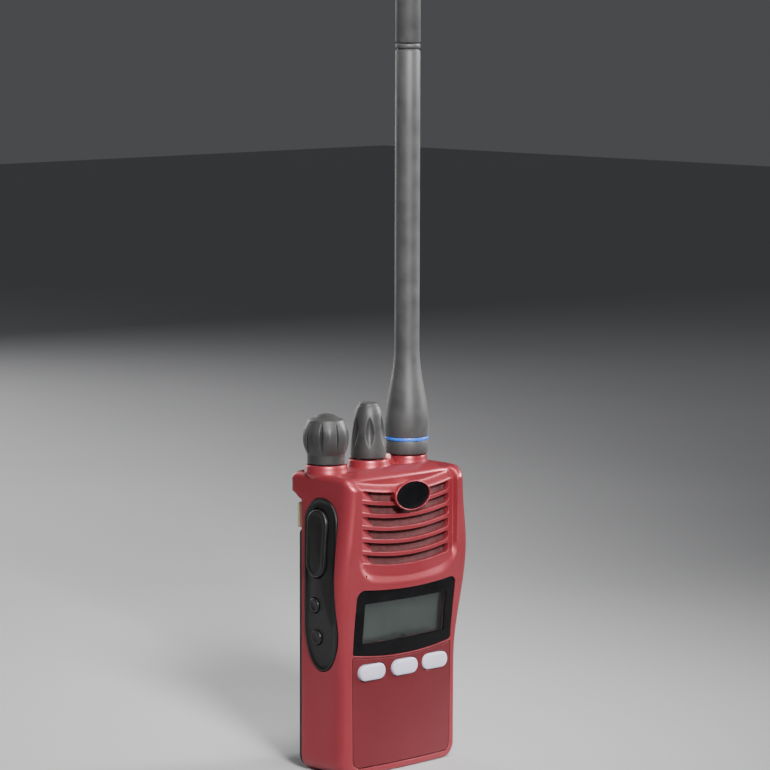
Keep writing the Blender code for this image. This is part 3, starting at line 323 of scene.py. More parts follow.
def corner_width(z):
    return CORNER_WIDTH + CORNER_WIDTH_GAIN * ease(z, WIDEN_LOW_Z, WIDEN_HIGH_Z)


def rear_y(z):
    share = min(max((z - HEAD_LOW_Z) / (HEAD_FULL_Z - HEAD_LOW_Z), 0.0), 1.0)
    return REAR_Y + (HEAD_REAR_Y - REAR_Y) * share


def side_x(y, z):
    corner_y = front_y(z) + bow(half_width(z) - corner_width(z)) + CORNER_DEPTH
    share = min(max((y - corner_y) / (REAR_Y - corner_y), 0.0), 1.0)
    return half_width(z) + (REAR_HALF_WIDTH - half_width(z)) * share


def recess_rise(x, z):
    """How far the recess's wall stands in front of its floor: 0 inside the floor's outline."""
    low = RECESS_LOW_Z + RECESS_SAG * (x / RECESS_HALF_WIDTH) ** 2
    across = abs(x) - (RECESS_HALF_WIDTH - RECESS_CORNER_R)
    down = low + RECESS_CORNER_R - z
    if across <= 0.0 and down <= 0.0:
        return 0.0
    across, down = max(across, 0.0), max(down, 0.0)
    reach = math.hypot(across, down)
    side_slope = RECESS_SIDE_SLOPE + RECESS_TOP_SLOPE * ease(z, 101.0, BODY_TOP)
    slope = (side_slope * across + RECESS_LOW_SLOPE * down) / (across + down)
    return max(reach - RECESS_CORNER_R, 0.0) / slope


def front_surface(x, z, sunken):
    """The front's depth, with the sunken grille between its columns or without it."""
    short = BODY_TOP - z
    column = front_y(z) + quarter(max(z, 0.0), BASE_LIP_R) + quarter(short, COLUMN_TOP_R)
    if not sunken or z < RECESS_FREE_Z:
        return bow(x) + column
    ledge = LEDGE_DEPTH * ease(z - smile(x, SLOT_HALF_WIDTH, SMILE_SAG), LEDGE_LOW_Z, LEDGE_HIGH_Z)
    floor = RECESS_FLOOR_Y + ledge + quarter(short, CREST_HEIGHT, CREST_DEPTH)
    fillet = 0.35 + 1.6 * ease(z, 101.0, BODY_TOP)
    return bow(x) + soft_max(column, floor - recess_rise(x, z), fillet)


def body_ring(z, inset=0.0, sunken=False):
    """The body's outline at one height, shrunk by an inset."""
    short = BODY_TOP - z
    side_in = inset + quarter(short, TOP_EDGE_R) + quarter(max(z, 0.0), BASE_CORNER_R)
    wide = half_width(z)
    corner_x = max(corner_width(z), 0.8)
    front_end = wide - corner_x
    fine_low = RECESS_HALF_WIDTH - 0.7
    fine_high = fine_low + 1.9
    xs = spread(0.0, fine_low, 18)[1:] + spread(fine_low, fine_high, 12)[1:]
    xs += spread(fine_high, front_end, 6)[1:]
    corner_in = front_end - (max(z, 0.0) < BASE_CORNER_R) * quarter(max(z, 0.0), BASE_CORNER_R)
    squeeze = corner_in / front_end
    half = [(x * squeeze, front_surface(x * squeeze, z, sunken) + inset) for x in xs]
    centre_y = front_y(z) + quarter(max(z, 0.0), BASE_LIP_R) + bow(front_end) + CORNER_DEPTH
    front_in = inset + quarter(short, COLUMN_TOP_R)
    side_left = side_in - (front_end - corner_in)
    for i in range(1, 11):
        angle = math.radians(-90.0 + 9.0 * i)
        half.append((corner_in + corner_x * math.cos(angle) - side_left * math.cos(angle),
                     centre_y + CORNER_DEPTH * math.sin(angle) - front_in * math.sin(angle)))
    rear_in = inset + quarter(short, TOP_EDGE_R)
    back = rear_y(z) - rear_in
    head = ease(z, HEAD_LOW_Z, HEAD_FULL_Z)
    rear_corner = max(REAR_CORNER_R + (HEAD_CORNER_R - REAR_CORNER_R) * head - max(inset, 0.0), 0.4)
    start = half[-1]
    end = (REAR_HALF_WIDTH - side_in, back - rear_corner)
    for i in range(1, 9):
        half.append((start[0] + (end[0] - start[0]) * i / 9, start[1] + (end[1] - start[1]) * i / 9))
    for i in range(6):
        turn = math.radians(18.0 * i)
        half.append((end[0] - rear_corner + rear_corner * math.cos(turn),
                     end[1] + rear_corner * math.sin(turn)))
    left = [(-x, y) for x, y in reversed(half)]
    return [(x, y, z) for x, y in left + [(0.0, front_surface(0.0, z, sunken) + inset)] + half]


def body_levels(low, high):
    """Levels that are close together where the surface bends."""
    base = [BASE_CORNER_R * (1.0 - math.cos(math.radians(a))) for a in range(0, 91, 10)] + [0.5, 1.0]
    top = [BODY_TOP - CREST_HEIGHT * (1.0 - math.sin(math.radians(a))) for a in range(0, 91, 6)]
    middle = spread(7.0, 34.0, 6) + spread(35.5, 63.0, 18) + spread(63.5, 80.0, 56) + spread(80.8, 96.0, 19)
    neck = spread(96.4, 104.6, 38)
    levels = sorted(set(base + middle + neck + top))
    return [low] + [z for z in levels if low + 0.02 < z < high - 0.02] + [high]


def body_slice(low, high, inset=0.0):
    rings = [body_ring(z, inset) for z in body_levels(low, high)]
    return make_object("slice", *loft(rings))


def deck_relief(x, y, z):
    """The crest over the grille, the scoops beside it and the columns' low shoulders."""
    x = abs(x)
    crest = CREST_RISE * hump(y, -8.8, 3.1) * (1.0 - ease(x, 16.5, 22.5))
    scoop = -SCOOP_DROP * hump(x, 23.0, 2.3) * hump(y, -9.5, 3.0)
    shoulder = -SHOULDER_DROP * hump(x, 26.5, 3.6) * hump(y, -18.5, 4.6)
    return (crest + scoop + shoulder) * ease(z, 98.5, 105.6)


def make_shell():
    """The red shell's outer body. Its top closes towards the middle in rows that carry the relief."""
    rings = [body_ring(z, 0.0, True) for z in body_levels(0.0, BODY_TOP)]
    last = rings[-1]
    for share in spread(0.96, 0.02, 24):
        rings.append([(x, y * share, z) for x, y, z in last])
    rings = [[(x, y, z + deck_relief(x, y, z)) for x, y, z in ring] for ring in rings]
    return make_object("housing_shell", *loft(rings))


def smile(x, half, sag):
    return sag * (x / half) ** 2


def face_outline(half_bottom, half_top, low, high, low_sag, high_sag, radius_low, radius_high, steps=36):
    """A four-sided outline with smile-shaped edges and round corners, in X and Z."""
    lower = [(x, low + smile(x, half_bottom, low_sag)) for x in
             spread(-half_bottom + radius_low, half_bottom - radius_low, steps)]
    upper = [(x, high + smile(x, half_top, high_sag)) for x in
             spread(-half_top + radius_high, half_top - radius_high, steps)]
    right = []
    low_corner = (half_bottom - radius_low, lower[-1][1] + radius_low, radius_low, range(-9, 1))
    high_corner = (half_top - radius_high, upper[-1][1] - radius_high, radius_high, range(0, 10))
    for x, z, radius, shares in (low_corner, high_corner):
        for share in shares:
            angle = math.radians(9.0 * share)
            right.append((x + radius * math.cos(angle), z + radius * math.sin(angle)))
    left = [(-x, z) for x, z in reversed(right)]
    return lower + right + upper[::-1] + left


def slot_outline(top, left_top, left_low, right):
    """One grille slot: a bent band with a slanted left end and a round right end."""
    steps = 24
    low = top - SLOT_HEIGHT - SMILE_SAG
    end_r = 1.2

    def rise(x):
        return smile(x, SLOT_HALF_WIDTH, SMILE_SAG)

    lower = [(x, low + rise(x)) for x in spread(left_low, right - end_r, steps)]
    upper = [(x, low + rise(x) + SLOT_HEIGHT) for x in spread(left_top, right - end_r, steps)]
    corner = []
    for x, z, first in ((right - end_r, lower[-1][1] + end_r, -90.0),
                        (right - end_r, upper[-1][1] - end_r, 0.0)):
        for i in range(1, 8):
            angle = math.radians(first + 90.0 * i / 8)
            corner.append((x + end_r * math.cos(angle), z + end_r * math.sin(angle)))
    side = [(left_top + (left_low - left_top) * i / 6, upper[0][1] + (lower[0][1] - upper[0][1]) * i / 6)
            for i in range(1, 6)]
    return lower + corner + upper[::-1] + side


def cut_slots(shell):
    """Slots whose left ends ramp down from the panel's surface."""
    for i in range(SLOT_COUNT):
        top = SLOT_TOP_Z - i * SLOT_PITCH
        rings = []
        for depth, left_top, left_low, right in ((-1.7, -22.4, -22.4, 20.9), (0.05, -22.1, -22.1, 20.9),
                                                 (0.8, -20.4, -19.0, 20.7), (2.1, -17.8, -14.6, 20.4)):
            outline = slot_outline(top, left_top, left_low, right)
            rings.append([(x, RECESS_FLOOR_Y + bow(x) + depth, z) for x, z in outline])
        cut(shell, make_object("slot", *loft(rings)))


def lens_outline():
    cz = LENS_CENTRE[2]
    return face_outline(24.3, 24.5, 41.5 - cz, 65.2 - cz, 1.8, 1.4, 0.9, 3.0)


def bowed_slab(front, back):
    """A slab in the display's own frame that follows the front's arc between two depths."""
    rings = []
    for x in spread(-27.0, 27.0, 48):
        rings.append([(x, front + bow(x), -14.0), (x, back + bow(x), -14.0), (x, back + bow(x), 14.0),
                      (x, front + bow(x), 14.0)])
    return make_object("slab", *loft(rings))


def tilt_display(piece):
    """Move a piece from the display's own frame to its slanted place."""
    turn = Matrix.Rotation(LENS_SLANT, 4, "X")
    piece.data.transform(Matrix.Translation(Vector(LENS_CENTRE) * MM) @ turn)
    return piece


def window_outline(margin):
    half_x, half_z = WINDOW_HALF[0] + margin, WINDOW_HALF[1] + margin
    return rounded((-half_x, -half_z), (half_x, half_z), 0.6 + margin, 5)


def panel_outline():
    return face_outline(PANEL_HALF_WIDTH - 0.3, PANEL_HALF_WIDTH, PANEL_LOW_Z, PANEL_HIGH_Z, 0.0,
                        PANEL_SAG, 3.0, 0.8)


def pad_outline(steps=28):
    """The side pad: a round top and a longer, pointed lower end, in Y and Z."""
    middle, half = (PAD_FRONT_Y + PAD_REAR_Y) / 2.0, (PAD_REAR_Y - PAD_FRONT_Y) / 2.0
    outline = []
    for i in range(steps + 1):
        angle = math.radians(180.0 * i / steps)
        outline.append((middle + half * math.cos(angle), PAD_HIGH_Z - half + half * math.sin(angle)))
    for i in range(steps + 1):
        angle = math.radians(180.0 + 180.0 * i / steps)
        outline.append((middle + half * math.cos(angle), PAD_LOW_Z + PAD_LOW_REACH * (1.0 + math.sin(angle))))
    return outline


def skin(name, outline, axis, low_z, high_z, outer_inset, inner_inset, side=1.0):
    """A piece of the body's skin with a given outline, between two insets from the surface."""
    reach = (5.0, 40.0) if axis == "X" and side > 0.0 else (-40.0, -5.0)
    piece = prism(outline, axis, reach[0], reach[1], name)
    keep_inside(piece, body_slice(low_z, high_z, outer_inset))
    return cut(piece, body_slice(low_z - 1.0, high_z + 1.0, inner_inset))


def pocket(outline, axis, low_z, high_z, inner_inset, side=1.0):
    """A cutter for a pocket of even depth below the body's surface."""
    reach = (5.0, 40.0) if axis == "X" and side > 0.0 else (-40.0, -5.0)
    return cut(prism(outline, axis, reach[0], reach[1]), body_slice(low_z, high_z, inner_inset))


def make_housing():
    """The red shell: front, sides, floor, head and the three collars on the deck."""
    shell = make_shell()
    flare = [(-0.9, 103.0), (-0.5, 104.7), (0.1, 105.6), (0.42, 106.2), (0.4, 106.6), (0.22, 107.2),
             (0.08, 108.0), (0.0, COLLAR_TOP - 0.6), (-0.15, COLLAR_TOP - 0.2), (-0.5, COLLAR_TOP)]
    profile = [(0.0, 103.0)] + [(COLLAR_R + out, z) for out, z in flare] + [(0.0, COLLAR_TOP)]
    for x in (VOLUME_X, CHANNEL_X, ANTENNA_X):
        join(shell, lathe("collar", profile, (x, DECK_Y), 72))
    boss = [(0.0, 104.0), (2.8, 104.0), (2.5, 107.0), (2.4, 108.2), (2.1, 108.5), (0.0, 108.5)]
    join(shell, lathe("led_boss", boss, (LED_X, DECK_Y), 40))
    seat_steps = ((BADGE_FRONT - 0.15, 0.25), (BADGE_FRONT - 0.1, 0.12), (BADGE_FRONT + 0.15, 0.0),
                  (BADGE_FRONT + 0.8, 0.1), (-17.2, 1.3), (-15.2, 1.3))
    seat_rings = []
    for y, shrink in seat_steps:
        outline = ellipse(0.0, BADGE_Z, BADGE_HALF[0] - shrink, BADGE_HALF[1] - shrink)
        seat_rings.append([(u, y, v) for u, v in outline])
    seat = make_object("seat", *loft(seat_rings))
    hollow_low, hollow_high = 2.3, 94.6
    inside = []
    for z in spread(hollow_low, hollow_high, 26):
        corner = WALL + quarter(max(z - hollow_low, 0.0), 4.0)
        wide = half_width(z) - corner
        front = max(front_y(z) + WALL, GRILLE_INNER_Y)
        inside.append([(-wide, front + 2.6, z), (-wide + 2.4, front + bow(wide - 2.4), z)]
                      + [(x, front + bow(x), z) for x in spread(-wide + 4.0, wide - 4.0, 12)]
                      + [(wide - 2.4, front + bow(wide - 2.4), z), (wide, front + 2.6, z)]
                      + [(side * (side_x(y, z) - corner), y, z) for side, y in
                         ((1.0, -4.0), (1.0, REAR_Y), (1.0, 20.0), (-1.0, 20.0), (-1.0, REAR_Y),
                          (-1.0, -4.0))])
    cut(shell, make_object("hollow", *loft(inside)))
    head = [(-26.0, GRILLE_INNER_Y + 2.0), (-22.0, GRILLE_INNER_Y + 0.9), (0.0, GRILLE_INNER_Y),
            (22.0, GRILLE_INNER_Y + 0.9), (26.0, GRILLE_INNER_Y + 2.0), (25.0, 11.4), (-25.0, 11.4)]
    cut(shell, prism(head, "Z", 92.0, 100.6), block((-25.0, -11.5, 100.0), (25.0, 11.4, 103.6)))
    cut_slots(shell)
    join(shell, seat)
    cut(shell, prism(ellipse(0.0, BADGE_Z, BADGE_HALF[0] - 0.5, BADGE_HALF[1] - 0.42), "Y", -24.0,
                     BADGE_FRONT + 0.7))
    cut(shell, prism(circle(*MICROPHONE_HOLE, 20), "Y", -22.0, -15.0))
    lens_pocket = keep_inside(prism(grow(lens_outline(), 0.25), "Y", -6.0, 6.0),
                              bowed_slab(-7.0, LENS_THICKNESS + 0.2))
    cut(shell, tilt_display(lens_pocket), tilt_display(prism(window_outline(0.2), "Y", -6.0, 6.0)))
    cut(shell, tilt_display(block((-22.2, 2.7, -9.7), (22.2, 6.0, 9.7))))
    cut(shell, pocket(grow(panel_outline(), GROOVE), "Y", 2.0, 46.0, PANEL_THICKNESS + 0.3))
    for x in KEY_XS.values():
        cut(shell, prism(oval(x, KEY_Z, KEY_LENGTH + 0.8, KEY_HEIGHT + 0.8), "Y", -20.0, -8.0))
    cut(shell, pocket(grow(pad_outline(), 0.3), "X", 33.0, 103.0, 1.2, -1.0))
    cut(shell, prism(oval(PTT_Y, PTT_Z, PTT_WIDTH + 0.8, PTT_HEIGHT + 0.8), "X", -40.0, -20.0))
    for y, z, _ in SIDE_KEYS.values():
        cut(shell, prism(circle(y, z, SIDE_KEY_R + 0.4), "X", -40.0, -20.0))
    cover = rounded(COVER_LOW, COVER_HIGH, COVER_CORNER_R)
    cut(shell, pocket(grow(cover, 0.3), "X", 50.0, 86.0, 1.3))
    for z in JACK_ZS:
        cut(shell, prism(circle(JACK_Y, z, JACK_HOLE_R), "X", 20.0, 40.0))
    for x in (VOLUME_X, CHANNEL_X):
        cut(shell, prism(circle(x, DECK_Y, NUT_POCKET_R), "Z", 106.7, 112.0))
    for x in (VOLUME_X, CHANNEL_X, ANTENNA_X):
        cut(shell, prism(circle(x, DECK_Y, BUSH_HOLE_R), "Z", 100.0, 112.0))
    cut(shell, prism(circle(LED_X, DECK_Y, LED_HOLE_R, 32), "Z", 100.0, 112.0))
    return stand_in(shell, "case", "front_housing", slot="red_paint")


# ---------------------------------------------------------------- front pieces

def stand_in(piece, body, *nodes, slot):
    """Make a fine piece ride on a body in place of the plain solids."""
    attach(piece, body)
    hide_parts(*nodes)
    return piece


def make_lower_panel():
    panel = skin("lower_panel_fine", panel_outline(), "Y", 2.0, 46.0, 0.05, PANEL_THICKNESS)
    for x in KEY_XS.values():
        cut(panel, prism(oval(x, KEY_Z, KEY_LENGTH + 0.7, KEY_HEIGHT + 0.7), "Y", -20.0, -8.0))
    return stand_in(panel, "case", "lower_panel", slot="red_panel")


def make_badge():
    """A domed oval plate."""
    rings = []
    rear = BADGE_FRONT + 0.7
    for i in range(20):
        share = 1.0 - i / 20.0
        edge = 0.5 * (1.0 - math.sqrt(1.0 - min(share, 0.985) ** 6))
        rise = BADGE_FRONT + 0.08 + edge - 0.12 * (1.0 - share ** 2)
        half_x, half_z = (half * share + 0.02 for half in BADGE_PLATE_HALF)
        outline = ellipse(0.0, BADGE_Z, half_x, half_z)
        rings.append([(u, rise, v) for u, v in outline])
    rings.insert(0, [(u, rear, v) for u, v in ellipse(0.0, BADGE_Z, *BADGE_PLATE_HALF)])
    return stand_in(make_object("badge_fine", *loft(rings)), "case", "badge", slot="gloss_black")


def make_lens():
    """The arched lens in two parts: a printed black border and the clear window inside it."""
    def blank(name):
        return keep_inside(prism(lens_outline(), "Y", -4.0, 6.0, name), bowed_slab(0.0, LENS_THICKNESS))

    border = cut(blank("lens_border"), prism(window_outline(0.0), "Y", -6.0, 6.0))
    window = keep_inside(blank("lens_window"), prism(window_outline(0.0), "Y", -6.0, 6.0))
    stand_in(tilt_display(border), "case", "display_lens", slot="gloss_black")
    stand_in(tilt_display(window), "case", "display_lens", slot="clear_lens")
    return border, window


def make_keys():
    """Three oval keys with crowned tops."""
    made = []
    for name, x in KEY_XS.items():
        front = front_y(KEY_Z) + bow(x)
        rings = [[(u, -13.0, v) for u, v in oval(x, KEY_Z, KEY_LENGTH, KEY_HEIGHT)]]
        for i in range(16):
            turn = math.radians(90.0 * i / 16)
            inset = 0.9 * (1.0 - math.cos(turn))
            rise = front - KEY_PROUD + 0.75 * (1.0 - math.sin(turn)) + 0.06
            outline = oval(x, KEY_Z, KEY_LENGTH - 2 * inset, KEY_HEIGHT - 2 * inset)
            rings.append([(u, rise, v) for u, v in outline])
        for i in range(1, 8):
            share = 1.0 - i / 8.0
            width = (KEY_LENGTH - 1.8) * (0.15 + 0.85 * share)
            height = (KEY_HEIGHT - 1.8) * max(share, 0.04)
            rings.append([(u, front - KEY_PROUD - 0.12 * (1.0 - share ** 2) + 0.03, v)
                          for u, v in oval(x, KEY_Z, width, min(height, width))])
        key = make_object("key_" + name + "_fine", *loft(rings))
        made.append(stand_in(key, "front_key_" + name, "key_" + name, slot="key_plastic"))
    return made


# ---------------------------------------------------------------- side pieces

def side_rings(outline, steps):
    """Rings on the left side wall from (inset or share, height over the wall) steps."""
    middle_y = sum(p[0] for p in outline) / len(outline)
    middle_z = sum(p[1] for p in outline) / len(outline)
    rings = []
    for inset, share, height in steps:
        shape = grow(outline, -inset) if inset else outline
        ring = []
        for y, z in shape:
            y = middle_y + (y - middle_y) * share
            z = middle_z + (z - middle_z) * share
            ring.append((-side_x(y, z) - height, y, z))
        rings.append(ring)
    return rings


def make_side_pad():
    """A rubber pad with a raised lip and a shallow field inside it."""
    steps = [(0.0, share, -0.9) for share in (0.05, 0.3, 0.6, 0.85, 1.0)]
    steps += [(0.0, 1.0, 0.05), (0.05, 1.0, 0.25), (0.18, 1.0, 0.40), (0.38, 1.0, 0.48), (0.62, 1.0, 0.46),
              (0.85, 1.0, 0.36), (1.1, 1.0, 0.20), (1.4, 1.0, 0.10), (1.8, 1.0, 0.08)]
    steps += [(1.8, share, 0.08 + 0.25 * (1.0 - share ** 2))
              for share in (0.92, 0.84, 0.76, 0.66, 0.54, 0.4, 0.25, 0.1, 0.03)]
    pad = make_object("side_pad_fine", *loft(side_rings(pad_outline(), steps)))
    cut(pad, prism(oval(PTT_Y, PTT_Z, PTT_WIDTH + 1.0, PTT_HEIGHT + 1.0), "X", -40.0, -20.0))
    for y, z, _ in SIDE_KEYS.values():
        cut(pad, prism(circle(y, z, SIDE_KEY_R + 0.32), "X", -40.0, -20.0))
    return stand_in(pad, "case", "side_pad", slot="black_rubber")


def make_ptt():
    """The long talk button: a raised rim round a shallow dished face with two rows of grip dots."""
    outline = oval(PTT_Y, PTT_Z, PTT_WIDTH, PTT_HEIGHT, 28)
    steps = [(0.0, share, -1.0) for share in (0.05, 0.5, 1.0)]
    steps += [(0.0, 1.0, 0.55), (0.06, 1.0, 0.85), (0.22, 1.0, 1.08), (0.48, 1.0, 1.24), (0.8, 1.0, 1.30),
              (1.15, 1.0, 1.26), (1.5, 1.0, 1.16), (1.9, 1.0, 1.08), (2.3, 1.0, 1.05)]
    steps += [(2.3, share, 1.05 + 0.12 * (1.0 - share ** 2)) for share in (0.8, 0.55, 0.3, 0.05)]
    button = make_object("ptt_button_fine", *loft(side_rings(outline, steps)))
    dots = []
    for row in range(5):
        for y in (PTT_Y - 1.5, PTT_Y + 1.5):
            z = PTT_Z + (row - 2) * 4.1
            x = -side_x(y, z) - 1.0
            rings = [[(x + 0.3 - 0.42 * math.sin(math.radians(a)), y + p, z + q)
                      for p, q in circle(0.0, 0.0, 0.38 * math.cos(math.radians(a)) + 0.01, 12)]
                     for a in (0, 25, 50, 70, 85)]
            dots.append(make_object("dot", *loft(rings)))
    join(button, *dots)
    return stand_in(button, "ptt", "ptt_button", slot="black_rubber")


def make_side_keys():
    """Two small round keys with a soft rim and a dished top."""
    made = []
    for name, (y, z, body) in SIDE_KEYS.items():
        steps = [(0.0, share, -1.1) for share in (0.05, 1.0)]
        steps += [(0.0, 1.0, 0.5), (0.06, 1.0, 0.72), (0.2, 1.0, 0.88), (0.45, 1.0, 0.98), (0.75, 1.0, 0.97),
                  (1.05, 1.0, 0.90), (1.4, 1.0, 0.84), (1.8, 1.0, 0.80), (2.2, 1.0, 0.79)]
        key = make_object(name + "_fine", *loft(side_rings(circle(y, z, SIDE_KEY_R), steps)))
        made.append(stand_in(key, body, name, slot="black_rubber"))
    return made


# ---------------------------------------------------------------- deck pieces

def flowing(profile, per=4):
    """A profile's points with smooth curves through them."""
    smooth_points = []
    for i in range(len(profile) - 1):
        before = Vector(profile[max(i - 1, 0)])
        start, end = Vector(profile[i]), Vector(profile[i + 1])
        after = Vector(profile[min(i + 2, len(profile) - 1)])
        for step in range(per):
            t = step / per
            point = 0.5 * (2.0 * start + (end - before) * t
                           + (2.0 * before - 5.0 * start + 4.0 * end - after) * t * t
                           + (3.0 * start - before - 3.0 * end + after) * t ** 3)
            smooth_points.append((max(point.x, 0.0), point.y))
    return smooth_points + [profile[-1]]


def knob_bore(shaft_top, deep):
    return [(0.0, shaft_top), (3.3, shaft_top), (3.3, deep), (5.0, deep)]


def make_volume_knob():
    """A bulb-shaped knob: eight shallow facets between narrow slits, under a soft shoulder and a low dome."""
    low, high = 113.4, 124.4

    def faceted(radius, z, angle):
        if not low < z < high or radius < 5.6:
            return radius
        length = math.sin(math.pi * (z - low) / (high - low)) ** 0.7
        away = math.remainder(angle - math.radians(33.2), math.radians(45.0))
        hollow = 0.30 * length * (1.0 - (away / math.radians(22.5)) ** 2)
        slit = 1.15 * length * hump(away, 0.0, math.radians(0.5 + 2.6 * length))
        return radius - hollow - slit

    neck = [(5.0, 109.5), (6.35, 109.5), (6.62, 109.75), (6.66, 110.2), (6.66, 112.3)]
    bulb = flowing([(6.66, 112.3), (6.72, 112.9), (7.05, 113.6), (7.65, 115.0), (8.1, 116.8),
                    (8.24, 118.4), (8.16, 120.0), (7.82, 121.6), (7.3, 122.9), (6.85, 123.8), (6.5, 124.4)])
    crown = flowing([(6.5, 124.4), (6.25, 124.85), (5.8, 125.2), (5.1, 125.45), (4.2, 125.85),
                     (3.2, 126.45), (2.2, 126.85), (1.1, 127.12), (0.0, 127.2)])
    profile = knob_bore(119.9, 110.3) + neck + bulb[1:] + crown[1:]
    knob = lathe("volume_knob_fine", profile, (VOLUME_X, DECK_Y), 288, faceted)
    return stand_in(knob, "volume_control", "volume_knob", slot="black_rubber")


def make_channel_knob():
    """A tapered knob with leaf-shaped dimples on its sides and a small cap on its round top."""
    low, high = 113.4, 124.6

    def dimpled(radius, z, angle):
        if not low < z < high or radius < 4.4:
            return radius
        length = math.sin(math.pi * (z - low) / (high - low)) ** 0.9
        half_leaf = max(math.radians(17.0) * length, 1e-6)
        share = math.remainder(angle - math.radians(51.0), math.radians(60.0)) / half_leaf
        return radius - 0.85 * length * max(0.0, 1.0 - share * share)

    foot = [(5.0, 109.7), (6.05, 109.7), (6.26, 109.9), (6.32, 110.3), (6.34, 111.4)]
    wall = flowing([(6.34, 111.4), (6.32, 113.0), (6.18, 115.6), (5.84, 119.1), (5.36, 122.7),
                    (4.94, 125.0), (4.6, 126.2), (4.15, 127.4), (3.75, 128.1), (3.4, 128.5)])
    cap = flowing([(3.36, 128.72), (3.15, 129.0), (2.4, 129.3), (1.2, 129.5), (0.0, 129.55)])
    profile = knob_bore(121.5, 110.3) + foot + wall[1:] + cap
    knob = lathe("channel_knob_fine", profile, (CHANNEL_X, DECK_Y), 180, dimpled)
    return stand_in(knob, "channel_control", "channel_knob", slot="black_rubber")


def make_antenna():
    """The whip with its swollen base, the coloured band in its groove and the round-ended tip."""
    centre = (ANTENNA_X, DECK_Y)
    outer = [(2.5, 118.5), (4.6, 118.5), (4.6, 109.5), (7.35, 109.5), (7.68, 109.68), (7.82, 110.0),
             (7.82, 114.1), (7.72, 114.35), (7.4, 114.4), (7.4, 115.6), (7.72, 115.65), (7.82, 115.9)]
    flare = [(7.82, 120.6)]
    for share in spread(0.0, 1.0, 22):
        flare.append((7.8 - (7.8 - 4.45) * ease(share, -0.08, 1.0) ** 0.93, 122.4 + 25.1 * share))
    whip = [(4.45, 175.0), (4.45, 200.0), (4.45, 225.0), (4.45, 252.9), (4.3, 253.2), (3.9, 253.3),
            (3.9, 253.95), (4.3, 254.05), (4.45, 254.3), (4.45, 255.2), (4.25, 255.55), (1.3, 255.6),
            (1.3, 125.5), (2.5, 125.5)]
    stand_in(lathe("antenna_whip_fine", outer + flare + whip, centre, 80, closed=True), "antenna",
             "antenna_whip", slot="black_rubber")
    band = [(7.45, 114.45), (7.85, 114.45), (7.94, 114.6), (7.94, 115.4), (7.85, 115.55), (7.45, 115.55)]
    stand_in(lathe("antenna_ring_fine", band, centre, 80, closed=True), "antenna", "antenna_ring",
             slot="blue_plastic")
    tip = [(0.0, 275.9), (1.3, 275.9), (1.3, 255.9), (3.9, 255.9), (4.3, 256.05), (4.45, 256.35),
           (4.45, 285.5)]
    tip += [(4.45 - quarter(290.0 - z, 4.2, 4.4), z) for z in spread(286.0, 289.98, 14)] + [(0.0, 290.0)]
    stand_in(lathe("antenna_tip_fine", tip, centre, 80), "antenna", "antenna_tip", slot="black_rubber")


def make_led():
    profile = [(0.0, 103.0), (1.4, 103.0), (1.4, 109.2)]
    profile += [(1.4 * math.cos(math.radians(a)), 109.2 + 1.0 * math.sin(math.radians(a)))
                for a in range(10, 90, 10)]
    lens = lathe("led_lens_fine", profile + [(0.0, 110.2)], (LED_X, DECK_Y), 40)
    return stand_in(lens, "case", "led_lens", slot="led_plastic")


make_housing()
make_lower_panel()
make_badge()
make_lens()
make_keys()
make_side_pad()
make_ptt()
make_side_keys()
make_volume_knob()
make_channel_knob()
make_antenna()
make_led()


# ---------------------------------------------------------------- materials

def new_material(name):
    material = bpy.data.materials.new(name)
    material.use_nodes = True
    tree = material.node_tree
    return material, tree, tree.nodes["Principled BSDF"]


def node(tree, kind, **values):
    made = tree.nodes.new(kind)
    for key, value in values.items():
        setattr(made, key, value)
    return made


def object_coords(tree):
    coords = tree.nodes.get("Coords") or node(tree, "ShaderNodeTexCoord", name="Coords")
    return coords.outputs["Object"]


def noise(tree, scale, detail=4.0, roughness=0.5, stretch=None):
    made = node(tree, "ShaderNodeTexNoise")
    made.inputs["Scale"].default_value = scale
    made.inputs["Detail"].default_value = detail
    made.inputs["Roughness"].default_value = roughness
    source = object_coords(tree)
    if stretch:
        mapping = node(tree, "ShaderNodeMapping")
        mapping.inputs["Scale"].default_value = stretch
        tree.links.new(source, mapping.inputs["Vector"])
        source = mapping.outputs["Vector"]
    tree.links.new(source, made.inputs["Vector"])
    return made.outputs["Fac"]


def remap(tree, source, low, high, low_value, high_value):
    """Map a factor's range to another range."""
    made = node(tree, "ShaderNodeMapRange")
    for name, value in (("From Min", low), ("From Max", high), ("To Min", low_value), ("To Max", high_value)):
        made.inputs[name].default_value = value
    tree.links.new(source, made.inputs["Value"])
    return made.outputs["Result"]


def math_node(tree, operation, first, second):
    made = node(tree, "ShaderNodeMath", operation=operation)
    for socket, value in zip(made.inputs, (first, second)):
        if isinstance(value, float):
            socket.default_value = value
        else:
            tree.links.new(value, socket)
    return made.outputs["Value"]


def mix_colours(tree, factor, first, second):
    """Blend two colours, each given as a number triple or another node's output."""
    made = node(tree, "ShaderNodeMix", data_type="RGBA")
    for name, colour in (("A", first), ("B", second)):
        socket = [s for s in made.inputs if s.name == name and s.type == "RGBA"][0]
        if isinstance(colour, tuple):
            socket.default_value = (*colour, 1.0)
        else:
            tree.links.new(colour, socket)
    factor_socket = [s for s in made.inputs if s.name == "Factor" and s.type == "VALUE"][0]
    tree.links.new(factor, factor_socket)
    return [s for s in made.outputs if s.type == "RGBA"][0]


def worn_edges(tree, radius):
    """A softened normal for small edges, and a mask that is 1 along them."""
    bevel = node(tree, "ShaderNodeBevel", samples=4)
    bevel.inputs["Radius"].default_value = radius * MM
    geometry = node(tree, "ShaderNodeNewGeometry")
    match = node(tree, "ShaderNodeVectorMath", operation="DOT_PRODUCT")
    tree.links.new(bevel.outputs["Normal"], match.inputs[0])
    tree.links.new(geometry.outputs["Normal"], match.inputs[1])
    return bevel.outputs["Normal"], remap(tree, match.outputs["Value"], 0.985, 0.80, 0.0, 1.0)


